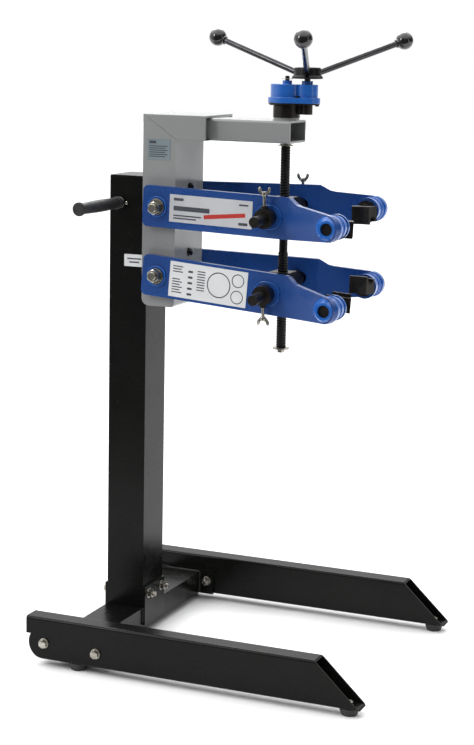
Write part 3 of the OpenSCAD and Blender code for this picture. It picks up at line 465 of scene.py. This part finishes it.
def bolt_set(name, node, spots, across, washer_r, shank_r, head, nut):
    """Replaces a node of through bolts. A spot is (head seat, nut seat, tip), in metres."""
    thick = 0.0025
    bm = bmesh.new()
    for head_seat, nut_seat, tip in spots:
        head_seat, nut_seat, tip = Vector(head_seat), Vector(nut_seat), Vector(tip)
        out = (head_seat - nut_seat).normalized()
        washer(bm, along(head_seat, out), washer_r, shank_r, thick)
        hexagon(bm, along(head_seat + out * thick, out), across, head)
        washer(bm, along(nut_seat, -out), washer_r, shank_r, thick)
        hexagon(bm, along(nut_seat - out * thick, -out), across, nut, shank_r)
        thread(bm, along(head_seat, -out), shank_r - 0.0001, (tip - head_seat).length, 0.00175, 0.0008)
    piece_from(bm, name, "stand", ZINC, [node])


def base_bolts():
    """The bolts through the legs and the ones through the column."""
    leg_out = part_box("left_leg")[1].y
    plate_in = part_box("end_plates")[1].y - 0.008
    for node in ("base_bolts", "axle_bolts"):
        centre = middle(node)
        spots = [((centre.x, s * leg_out, centre.z), (centre.x, s * plate_in, centre.z),
                  (centre.x, s * (plate_in - 0.016), centre.z)) for s in (-1, 1)]
        bolt_set(node + "_turned", node, spots, 0.0182, 0.012, 0.006, 0.0075, 0.01)
    low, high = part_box("column_bolts")
    z = middle("column_bolts").z
    washer_r = 0.0125
    spots = [((BRACKETS[0].x, y, z), (BRACKETS[1].x, y, z), (high.x, y, z))
             for y in (low.y + washer_r, high.y - washer_r)]
    bolt_set("column_bolts_turned", "column_bolts", spots, 0.0182, washer_r, 0.006, 0.0075, 0.01)


def frame_bolts():
    """The two bolts that clamp the post to the column."""
    low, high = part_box("frame_bolts")
    washer_r, thick = 0.01, 0.002
    rear, ahead = (-1, 0, 0), (1, 0, 0)
    bm = bmesh.new()
    for z in (low.z + washer_r, high.z - washer_r):
        washer(bm, along((COLUMN[0].x, 0, z), rear), washer_r, 0.005, thick)
        hexagon(bm, along((COLUMN[0].x - thick, 0, z), rear), 0.0158, 0.008, 0.0049)
        thread(bm, along((low.x, 0, z), ahead), 0.0049, high.x - low.x - 0.007, 0.0015, 0.0006)
        washer(bm, along((POST[1].x, 0, z), ahead), washer_r, 0.004, thick)
        hexagon(bm, along((POST[1].x + thick, 0, z), ahead), 0.0148, 0.0064)
    piece_from(bm, "frame_bolts_turned", "stand", STEEL, ["frame_bolts"])


def pivots():
    """The long pivot bolts, their heads and their nuts."""
    low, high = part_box("pivot_bolts")
    nut_low, nut_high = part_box("pivot_nuts")
    x = middle("pivot_bolts").x
    corner_r, across, head_h = 0.016, 0.0277, 0.013
    left = (0, 1, 0)
    bolts, nuts = bmesh.new(), bmesh.new()
    for z in (low.z + corner_r, high.z - corner_r):
        thread(bolts, along((x, low.y, z), left), 0.00998, nut_high.y - low.y, 0.0025, 0.0011)
        lathe(bolts, along((x, nut_high.y - 0.002, z), left),
              [(0.0099, 0), (0.01, 0.001), (0.01, high.y - head_h - nut_high.y + 0.002)])
        hexagon(bolts, along((x, high.y - head_h, z), left), across, head_h)
        hexagon(nuts, along((x, nut_high.y, z), (0, -1, 0)), across, nut_high.y - nut_low.y, 0.0099)
    piece_from(bolts, "pivot_bolts_turned", "stand", ZINC, ["pivot_bolts"])
    piece_from(nuts, "pivot_nuts_turned", "stand", ZINC, ["pivot_nuts"])


def grips():
    """Ribbed rubber grips with a flared end, and the bright screw at each one's root."""
    low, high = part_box("grips")
    centre = (low + high) / 2
    flare = (high.x - low.x) / 2
    root = COLUMN[1].y + 0.012
    length = high.y - root
    grip = flare - 0.002
    rows, ribs = 60, 15
    rubber_bm, steel = bmesh.new(), bmesh.new()
    for sign in (-1, 1):
        place = along((centre.x, sign * root, centre.z), (0, sign, 0))
        profile = [(0.0102, 0.0), (grip + 0.0006, 0.0), (grip + 0.001, 0.001)]
        profile += [(grip + 0.001, 0.006), (grip - 0.001, 0.008)]
        barrel = length - 0.02
        for i in range(rows):
            t = i / (rows - 1)
            swell = grip - 0.0012 + 0.0018 * math.sin(math.pi * t)
            groove = 0.0006 * (math.cos(2 * math.pi * t * ribs) > 0.72)
            profile.append((swell - groove, 0.01 + t * (barrel - 0.012)))
        profile += [(grip - 0.002, length - 0.012), (grip - 0.0004, length - 0.009),
                    (flare - 0.0006, length - 0.0075), (flare, length - 0.006), (flare, length - 0.002),
                    (flare - 0.0012, length - 0.0004), (flare - 0.003, length)]
        profile += [(flare - 0.005, length), (flare - 0.006, length - 0.0008), (0.004, length - 0.0008)]
        lathe(rubber_bm, place, profile, 56)
        washer(steel, along((centre.x, sign * COLUMN[1].y, centre.z), (0, sign, 0)), 0.0135, 0.0101, 0.004)
        seat = Vector((centre.x + 0.019, sign * COLUMN[1].y, centre.z))
        lathe(steel, along(seat, (0, sign, 0)),
              [(0.0042, 0), (0.0042, 0.0012), (0.0036, 0.0026), (0.002, 0.0034), (0.0008, 0.0036)], 24)
    piece_from(rubber_bm, "grips_ribbed", "stand", RUBBER, ["grips"])
    piece_from(steel, "grip_collars", "stand", ZINC)


def wheels():
    """Nylon wheels with a recessed web, a hub and a grooved tread."""
    segments = 72
    for side in SIDES:
        node = f"{side}_wheel"
        low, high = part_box(node)
        centre = (low + high) / 2
        radius = (high.z - low.z) / 2
        half = (high.y - low.y) / 2
        tread = half - 0.002
        profile = [(0.00605, -half), (0.0145, -half), (0.015, -half + 0.0008), (0.0155, -0.004),
                   (radius - 0.014, -0.004), (radius - 0.012, -tread + 0.001), (radius - 0.005, -tread),
                   (radius - 0.0012, -tread + 0.0025), (radius, -tread + 0.006), (radius, -0.0022),
                   (radius - 0.0012, -0.0012)]
        profile += [(r, -z) for r, z in reversed(profile)]
        bm = bmesh.new()
        place = along(centre, (0, 1, 0))
        join_ends(bm, lathe(bm, place, profile, segments, closed_ends=False))
        piece_from(bm, f"{side}_wheel_moulded", node, NYLON, [node])


# ---- arms, collars and jaws ----

def arm_details(arm):
    """Shank face, set screw and sleeve bands of one arm."""
    swivel = JOINTS[f"{arm}_jaw_swivel"]
    sign = -1 if arm.startswith("right") else 1
    axis = Vector(swivel["pos_m"])
    low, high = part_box(f"{arm}_arm")
    outer = high.y if sign > 0 else low.y
    shank_low, shank_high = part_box(f"{arm}_jaw")
    shank_end = shank_high.y if sign > 0 else shank_low.y
    bm = bmesh.new()
    face = along((axis.x, shank_end - sign * 0.0006, axis.z), (0, sign, 0))
    lathe(bm, face, [(0.0184, -0.002), (0.0186, -0.0016), (0.0186, -0.0004), (0.0178, 0.0004),
                     (0.0152, 0.0004), (0.0146, -0.0002), (0.0066, -0.0002), (0.006, 0.0005),
                     (0.0034, 0.0005), (0.0028, -0.0014)], 48)
    piece_from(bm, f"{arm}_shank_face", f"{arm}_jaw", OXIDE)
    bm = bmesh.new()
    spot = Vector((axis.x, outer - sign * 0.032, axis.z))
    lean = math.radians(28)
    out = Vector((math.cos(lean), 0, math.sin(lean)))
    lathe(bm, along(spot + out * (SLEEVE_R - 0.001), out),
          [(0.0034, 0), (0.0034, 0.0012), (0.003, 0.0016), (0.0018, 0.0016), (0.0016, 0.0004)], 24)
    piece_from(bm, f"{arm}_set_screw", f"{arm}_arm", OXIDE)
    bm = bmesh.new()
    for distance, thick in ((0.036, 0.0016), (0.047, 0.0022)):
        place = along((axis.x, outer - sign * (distance + 0.002), axis.z), (0, sign, 0))
        washer(bm, place, SLEEVE_R + thick, SLEEVE_R - 0.001, 0.004, 0.0012)
    # The bands are in the lit blue: the arm's blue painted lighter for the light that falls on them.
    piece_from(bm, f"{arm}_sleeve_bands", f"{arm}_arm", LIT_BLUE)


def sleeve_skin(arm):
    """The skin of an arm's sleeve, with a shoulder over the arm plate's tip, in the arm's blue painted
    lighter for the light that falls on it.
    """
    swivel = JOINTS[f"{arm}_jaw_swivel"]
    sign = -1 if arm.startswith("right") else 1
    axis = Vector(swivel["pos_m"])
    low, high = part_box(f"{arm}_arm")
    outer = high.y if sign > 0 else low.y
    length = abs(outer) - 0.1
    bm = bmesh.new()
    place = along((axis.x, outer + sign * 0.0002, axis.z), (0, -sign, 0))
    bore = 0.01425
    radius = SLEEVE_R + 0.0002
    mouth = 0.0207
    cone = 0.017
    shoulder = 0.0303
    join_ends(bm, lathe(bm, place, [
        (bore, 0), (mouth - 0.0012, 0), (mouth, 0.0012), (radius - 0.0006, cone - 0.004),
        (radius + 0.0006, cone - 0.0026), (shoulder - 0.0006, cone - 0.0024), (shoulder, cone - 0.0012),
        (shoulder, cone + 0.0096), (shoulder - 0.0008, cone + 0.011), (radius, cone + 0.0112),
        (radius, length - 0.0078), (radius + 0.0018, length - 0.0078), (radius + 0.002, length - 0.007),
        (radius + 0.002, length - 0.0008), (radius + 0.0012, length), (bore, length)],
        64, closed_ends=False))
    piece_from(bm, f"{arm}_sleeve", f"{arm}_arm", LIT_BLUE)


def wing_screw(arm):
    """A forged wing screw: threaded shank, hub and two rounded wings."""
    node = f"{arm}_wing_screw"
    joint = JOINTS[node + "_turn"]
    axis = Vector(joint["axis"]).normalized()
    shank = 0.0373
    place = along(Vector(joint["pos_m"]) - axis * 0.0271, axis)
    bm = bmesh.new()
    thread(bm, place, 0.00395, shank, 0.00125, 0.0006, 1, 32, 0.001)
    lathe(bm, place, [(0.0036, shank - 0.001), (0.0055, shank), (0.0065, shank + 0.0015),
                      (0.0066, shank + 0.006), (0.0058, shank + 0.0092), (0.0035, shank + 0.0105)], 32)
    wing = [(2.5, 1.2), (7, 1.6), (10.2, 5.2), (13.4, 9.6), (15, 14.0), (14.4, 18.4), (11.8, 20.6),
            (9.2, 18.8), (8.0, 14.6), (6.4, 11.2), (2.5, 9.4)]
    core = [(x + (8.5 - x) * 0.16, z + (10 - z) * 0.12) for x, z in wing]
    wing, core = smooth_outline(wing, 4), smooth_outline(core, 4)

    def at_level(outline, level, sign):
        return [place @ Vector((sign * x * MM, level, shank + z * MM)) for x, z in outline]

    for sign in (-1, 1):
        rings(bm, [at_level(core, -0.002, sign), at_level(wing, -0.0012, sign),
                   at_level(wing, 0.0012, sign), at_level(core, 0.002, sign)])
    piece_from(bm, f"{arm}_wing_screw_forged", node, ZINC, [node])


def smooth_outline(points, steps):
    """A closed Catmull-Rom curve through the points."""
    count = len(points)
    result = []
    for i in range(count):
        p0, p1, p2, p3 = (points[(i + k - 1) % count] for k in range(4))
        for step in range(steps):
            t = step / steps
            result.append(tuple(
                0.5 * (2 * b + (c - a) * t + (2 * a - 5 * b + 4 * c - d) * t * t
                       + (3 * b - a - 3 * c + d) * t ** 3)
                for a, b, c, d in zip(p0, p1, p2, p3)))
    return result


def boss_highlight_rims(arm):
    """Rolled beads round an arm's pivot boss and slot boss, in the lit blue as a painted highlight."""
    boss = 0.023
    sign = -1 if arm.startswith("right") else 1
    centre = middle(f"{arm}_rocker")
    points = [v.co for v in frame["nodes"][f"{arm}_arm"].data.vertices]
    face = max(abs(p.y) for p in points
               if abs(math.hypot(p.x - centre.x, p.z - centre.z) - boss) < 0.0004)
    bm = bmesh.new()
    place = along((centre.x, sign * (face - 0.0008), centre.z), (0, sign, 0))
    washer(bm, place, boss + 0.0012, boss - 0.0016, 0.0014, 0.0005)
    slot = middle(f"{arm}_collar")
    reach, boss_reach = 0.044, 0.0245

    def depth(p):
        return abs(p.y) * math.cos(ARM_SPLAY) - abs(p.x - centre.x) * math.sin(ARM_SPLAY)

    near = [p.copy() for p in points if abs(p.x - slot.x) < reach and abs(p.z - slot.z) < reach]
    top = max(depth(p) for p in near)
    edge = [p for p in near if depth(p) > top - 0.0002]
    heart = (Vector((min(p.x for p in edge), 0, min(p.z for p in edge)))
             + Vector((max(p.x for p in edge), 0, max(p.z for p in edge)))) / 2
    edge = [p for p in edge if math.hypot(p.x - heart.x, p.z - heart.z) > boss_reach]
    edge.sort(key=lambda p: math.atan2(p.z - heart.z, p.x - heart.x))
    path = [p for i, p in enumerate(edge) if (p - edge[i - 1]).length > 0.0005]
    bead_loop(bm, path, 0.0009)
    piece_from(bm, f"{arm}_boss_highlight_rims", f"{arm}_arm", LIT_BLUE)


def arm_labels():
    """The films of the two plates on the right-hand arms."""
    for level in LEVELS:
        dress(f"{level}_arm_plate", WHITE_PLATE if level == "lower" else PLATE, 0.2, 1)


# ---- screw, gearbox and handle ----

def lead_screw():
    """The two-handed lead screw, with real threads on its two thick stretches."""
    node = "lead_screw"
    low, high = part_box(node)
    x = (low.x + high.x) / 2
    lower_r, upper_r, neck_r, shaft_r, tail_r = 0.012, 0.0115, 0.01, 0.009, 0.005
    depth, lead = 0.0012, 0.00635
    points = [(math.hypot(v.co.x - x, v.co.y), v.co.z) for v in frame["nodes"][node].data.vertices]
    levels = {radius: [z for r, z in points if abs(r - radius) < 0.00015]
              for radius in (lower_r, upper_r, shaft_r, tail_r)}
    lower_top = max(levels[lower_r])
    start, end = min(levels[upper_r]), max(levels[upper_r])
    bm = bmesh.new()

    def place(z):
        return Matrix.Translation((x, 0, z))

    thread(bm, place(low.z), lower_r - 0.00005, lower_top - low.z + 0.001, lead, depth, -1, 48, 0.003)
    thread(bm, place(start - 0.001), upper_r - 0.00005, end - start + 0.0015, lead, depth, 1, 48, 0.003)
    lathe(bm, place(0), [(neck_r - 0.00005, lower_top), (neck_r - 0.00005, start)], 48)
    shaft_low, shaft_top = min(levels[shaft_r]), max(levels[shaft_r])
    lathe(bm, place(0), [
        (neck_r - 0.00005, end), (neck_r - 0.00005, shaft_low), (shaft_r - 0.00005, shaft_low + 0.0008),
        (shaft_r - 0.00005, shaft_top - 0.001), (tail_r - 0.00005, shaft_top),
        (tail_r - 0.00005, high.z - 0.001), (tail_r - 0.001, high.z)], 48)
    piece_from(bm, "lead_screw_threaded", "screw", SCREW_STEEL, [node])


def knobs():
    """Turned ball knobs with a short neck."""
    bm = bmesh.new()
    radius = KNOB_R
    for ball, root in spoke_lines():
        direction = (ball - root).normalized()
        profile = [(0.0072, -radius - 0.0025), (0.0094, -radius - 0.0025), (0.01, -radius - 0.0018),
                   (0.01, -radius + 0.001)]
        for i in range(5, 33):
            angle = math.pi * (1 - i / 33)
            profile.append((radius * math.sin(angle), radius * math.cos(angle)))
        profile.append((0.0012, radius))
        lathe(bm, along(ball, direction), profile, 64)
    piece_from(bm, "knobs_turned", "handle", PHENOLIC, ["knobs"])


def spoke_lines():
    """The centre of each ball knob and the root of its spoke, from the knobs' own CAD vertices."""
    hub = middle("handle_hub")
    points = [v.co.copy() for v in frame["nodes"]["knobs"].data.vertices]
    same_knob, spoke_r, hub_r = 20, 0.007, 0.03
    groups = []
    for point in points:
        angle = math.degrees(math.atan2(point.y - hub.y, point.x - hub.x))
        for group in groups:
            if abs((angle - group[0] + 180) % 360 - 180) < same_knob:
                group[1].append(point)
                break
        else:
            groups.append((angle, [point]))
    lines = []
    for _, members in groups:
        top = max(p.z for p in members)
        far = max(math.hypot(p.x - hub.x, p.y - hub.y) for p in members)
        mean = sum(members, Vector()) / len(members)
        direction = Vector((mean.x - hub.x, mean.y - hub.y, 0)).normalized()
        ball = Vector((hub.x, hub.y, 0)) + direction * (far - KNOB_R) + Vector((0, 0, top - KNOB_R))
        root_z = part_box("spokes")[0].z + spoke_r
        root = Vector((hub.x, hub.y, root_z)) + direction * hub_r
        lines.append((ball, root))
    return lines


def plate_axes(points):
    """The lower rear corner of a flat plate, its two unit directions, its outer normal and its size."""
    def outermost(way):
        spot = min(points, key=way)
        near = [p for p in points if math.hypot(p.x - spot.x, p.z - spot.z) < 0.0006]
        return min(near, key=lambda p: p.y)

    corner = outermost(lambda p: p.x + p.z)
    across = outermost(lambda p: p.z - p.x) - corner
    up = outermost(lambda p: p.x - p.z) - corner
    out = across.cross(up).normalized()
    return corner, across.normalized(), up.normalized(), out, across.length, up.length


def print_shapes(name, body, plate, material, bars, circles=()):
    """Plain raised bars and rings on a plate, placed in shares of its width and height."""
    lift = 0.00015
    origin, across, up, out, width, height = plate
    turn = Matrix((across, up, out)).transposed().to_4x4()
    bm = bmesh.new()
    for left, bottom, long, tall, lean in bars:
        centre = origin + across * (left + long / 2) * width + up * (bottom + tall / 2) * height
        place = Matrix.Translation(centre) @ turn @ Matrix.Rotation(math.radians(lean), 4, "Z")
        rounded_plate(bm, place, long * width, tall * height, lift, tall * height * 0.2, lift * 0.3)
    for left, bottom, radius, line in circles:
        place = Matrix.Translation(origin + across * left * width + up * bottom * height) @ turn
        washer(bm, place, radius * height, (radius - line) * height, lift, lift * 0.3)
    piece_from(bm, name, body, material, smooth=False)


def plain_prints():
    """Bars and rings where the plates carry print, with no lettering, marks or pictures."""
    def points(node, keep=lambda p: True):
        return [v.co.copy() for v in frame["nodes"][node].data.vertices if keep(v.co)]

    plate = plate_axes(points("upper_arm_plate"))
    body = "right_upper_arm"
    lines = [(0.05, 0.12, 0.28, 0.05, 0), (0.05, 0.22, 0.34, 0.05, 0), (0.05, 0.42, 0.44, 0.17, 0),
             (0.84, 0.8, 0.11, 0.06, 0), (0.84, 0.1, 0.11, 0.1, 0), (0.05, 0.78, 0.12, 0.1, 0)]
    print_shapes("upper_plate_print", body, plate, INK, lines)
    print_shapes("upper_plate_stripe", body, plate, RED_INK, [(0.42, 0.3, 0.5, 0.15, 7)])

    plate = plate_axes(points("lower_arm_plate"))
    body = "right_lower_arm"
    lines = [(0.04, 0.86 - 0.075 * i, 0.11 if i % 2 else 0.13, 0.03, 0) for i in range(3)]
    lines += [(0.04, 0.5 - 0.075 * i, 0.13 if i % 2 else 0.1, 0.03, 0) for i in range(6)]
    lines += [(0.36, 0.8 - 0.075 * i, 0.1, 0.03, 0) for i in range(8)]
    lines += [(0.24, 0.1 + 0.16 * i, 0.06, 0.06, 0) for i in range(5)]
    print_shapes("lower_plate_print", body, plate, INK, lines,
                 [(0.64, 0.52, 0.36, 0.03), (0.88, 0.72, 0.19, 0.025), (0.88, 0.26, 0.19, 0.025)])

    split = (POST[0].z + POST[1].z) / 2
    for name, keep, lines in (
            ("post_plate_print", lambda p: p.z > split,
             [(0.08, 0.78, 0.3, 0.13, 0)] + [(0.08, 0.64 - 0.1 * i, 0.7 if i % 2 else 0.8, 0.04, 0)
                                             for i in range(6)]),
            ("column_plate_print", lambda p: p.z <= split,
             [(0.15, 0.58, 0.7, 0.12, 0), (0.25, 0.3, 0.5, 0.12, 0)])):
        print_shapes(name, "stand", plate_axes(points("data_plates", keep)), INK, lines)


def column_plate():
    """The white film on the column's plate, over the grey of the post's plate."""
    spots = [v.co.copy() for v in frame["nodes"]["data_plates"].data.vertices
             if v.co.z < (POST[0].z + POST[1].z) / 2]
    origin, across, up, out, width, height = plate_axes(spots)
    bm = bmesh.new()
    centre = origin + across * width / 2 + up * height / 2
    place = Matrix.Translation(centre) @ Matrix((across, up, out)).transposed().to_4x4()
    rounded_plate(bm, place, width, height, 0.0001, 0.002, 0.00003)
    piece_from(bm, "column_plate_film", "stand", WHITE_PLATE, smooth=False)


for arm_name in ARMS:
    dress(f"{arm_name}_arm", BLUE, 1.2, 2)
    dress(f"{arm_name}_rocker", ZINC, 0.6, 2)
    dress(f"{arm_name}_collar", OXIDE, 0.9, 2)
    dress(f"{arm_name}_jaw", OXIDE, 1.4, 3)
    arm_details(arm_name)
    sleeve_skin(arm_name)
    boss_highlight_rims(arm_name)
    wing_screw(arm_name)
for level_name in LEVELS:
    dress(f"{level_name}_trunnion", OXIDE, 1.2, 2)
    dress(f"{level_name}_nut", OXIDE, 0.8, 2)
arm_labels()
column_plate()
plain_prints()
stand_welds()
rubber_feet()
base_bolts()
frame_bolts()
pivots()
grips()
wheels()
lead_screw()
dress("screw_washers", ZINC, 0.5)
dress("screw_gear", STEEL, 0.3, 1)
dress("pinion", STEEL, 0.3, 1)
dress("bearing_housing", OXIDE, 1.0, 2)
dress("gear_base", OXIDE, 0.8, 2)
# The gear case is in the lit blue: its blue enamel painted lighter for the light that falls on it.
dress("gear_case", LIT_BLUE, 1.4, 3)
dress("case_screws", OXIDE, 0.8, 2)
dress("handle_hub", SCREW_STEEL, 1.0, 2)
dress("spokes", STEEL, 0.5, 2)
knobs()


# ---- floor, light and camera ----

def stage():
    """A large pale floor and a dome that is dimmer on the camera's side, with three area lights.

    The camera itself sees the dome as plain white."""
    half_width, front, depth = 14, -1.5, 25.5
    columns, rows = 14, 12
    bm = bmesh.new()
    xs = [-half_width + 2 * half_width * i / columns for i in range(columns + 1)]
    ys = [front + depth * i / rows for i in range(rows + 1)]
    grid = [[bm.verts.new((x, y, 0)) for x in xs] for y in ys]
    for near, far in zip(grid, grid[1:]):
        for i in range(columns):
            bm.faces.new((near[i], near[i + 1], far[i + 1], far[i]))
    mesh = bpy.data.meshes.new("floor")
    bm.to_mesh(mesh)
    bm.free()
    floor = bpy.data.objects.new("floor", mesh)
    bpy.context.scene.collection.objects.link(floor)
    n = Nodes("floor")
    n.set(Base_Color=rgb(0.9, 0.9, 0.9), Roughness=0.9, Specular_IOR_Level=0.1)
    mesh.materials.append(n.material)

    world = bpy.data.worlds.new("studio")
    world.use_nodes = True
    tree = world.node_tree
    background = tree.nodes["Background"]
    background.inputs["Color"].default_value = rgb(1, 1, 1)
    way = tree.nodes.new("ShaderNodeTexCoord").outputs["Generated"]
    split = tree.nodes.new("ShaderNodeSeparateXYZ")
    tree.links.new(way, split.inputs[0])
    towards = tree.nodes.new("ShaderNodeVectorMath")
    towards.operation = "DOT_PRODUCT"
    bright_side = (-0.85, 0.53, 0.0)
    towards.inputs[1].default_value = bright_side
    tree.links.new(way, towards.inputs[0])

    def step(source, low, high, start, end):
        node = tree.nodes.new("ShaderNodeMapRange")
        node.interpolation_type = "SMOOTHSTEP"
        for key, value in (("From Min", low), ("From Max", high), ("To Min", start), ("To Max", end)):
            node.inputs[key].default_value = value
        tree.links.new(source, node.inputs["Value"])
        return node.outputs["Result"]

    dim, bright, overhead, backdrop = 0.13, 1.0, 1.7, 1.0
    around = step(towards.outputs["Value"], -0.3, 0.6, dim, bright)
    upward = step(split.outputs["Z"], 0.3, 0.85, 0.0, overhead)
    total = tree.nodes.new("ShaderNodeMath")
    total.operation = "ADD"
    tree.links.new(around, total.inputs[0])
    tree.links.new(upward, total.inputs[1])
    seen = tree.nodes.new("ShaderNodeLightPath").outputs["Is Camera Ray"]
    shown = tree.nodes.new("ShaderNodeMix")
    shown.data_type = "FLOAT"
    tree.links.new(seen, shown.inputs[0])
    tree.links.new(total.outputs[0], shown.inputs[2])
    shown.inputs[3].default_value = backdrop
    tree.links.new(shown.outputs[0], background.inputs["Strength"])
    bpy.context.scene.world = world

    def area(name, place, target, size, power):
        light = bpy.data.lights.new(name, "AREA")
        light.shape = "RECTANGLE"
        light.size, light.size_y = size
        light.energy = power
        lamp = bpy.data.objects.new(name, light)
        lamp.location = place
        lamp.rotation_euler = (Vector(target) - Vector(place)).to_track_quat("-Z", "Y").to_euler()
        bpy.context.scene.collection.objects.link(lamp)

    area("key", (-2.4, -3.4, 3.2), (0.1, 0, 1.0), (0.9, 1.8), 55)
    area("side", (3.4, -0.6, 1.6), (0.1, 0, 0.7), (0.5, 2.0), 5)
    area("back", (-1.5, 3.0, 3.2), (0, 0, 0.9), (2.0, 1.2), 40)


def camera():
    """The picture's own viewpoint: position, heading, tilt, roll and lens."""
    place = Vector((1.5962, -3.9317, 1.4646))
    heading, tilt, roll = 0.3934, 0.1834, -0.0200
    forward = Vector((-math.sin(heading) * math.cos(tilt), math.cos(heading) * math.cos(tilt),
                      -math.sin(tilt)))
    right = Vector((math.cos(heading), math.sin(heading), 0))
    up = right.cross(forward)
    local_x = right * math.cos(roll) - up * math.sin(roll)
    local_y = right * math.sin(roll) + up * math.cos(roll)
    data = bpy.data.cameras.new("camera")
    data.sensor_width = 36
    data.lens = 87.84
    data.clip_end = 100
    rig = bpy.data.objects.new("camera", data)
    rig.matrix_world = Matrix.Translation(place) @ Matrix((local_x, local_y, -forward)).transposed().to_4x4()
    bpy.context.scene.collection.objects.link(rig)
    bpy.context.scene.camera = rig
    bpy.context.scene.view_settings.view_transform = "Standard"


stage()
camera()
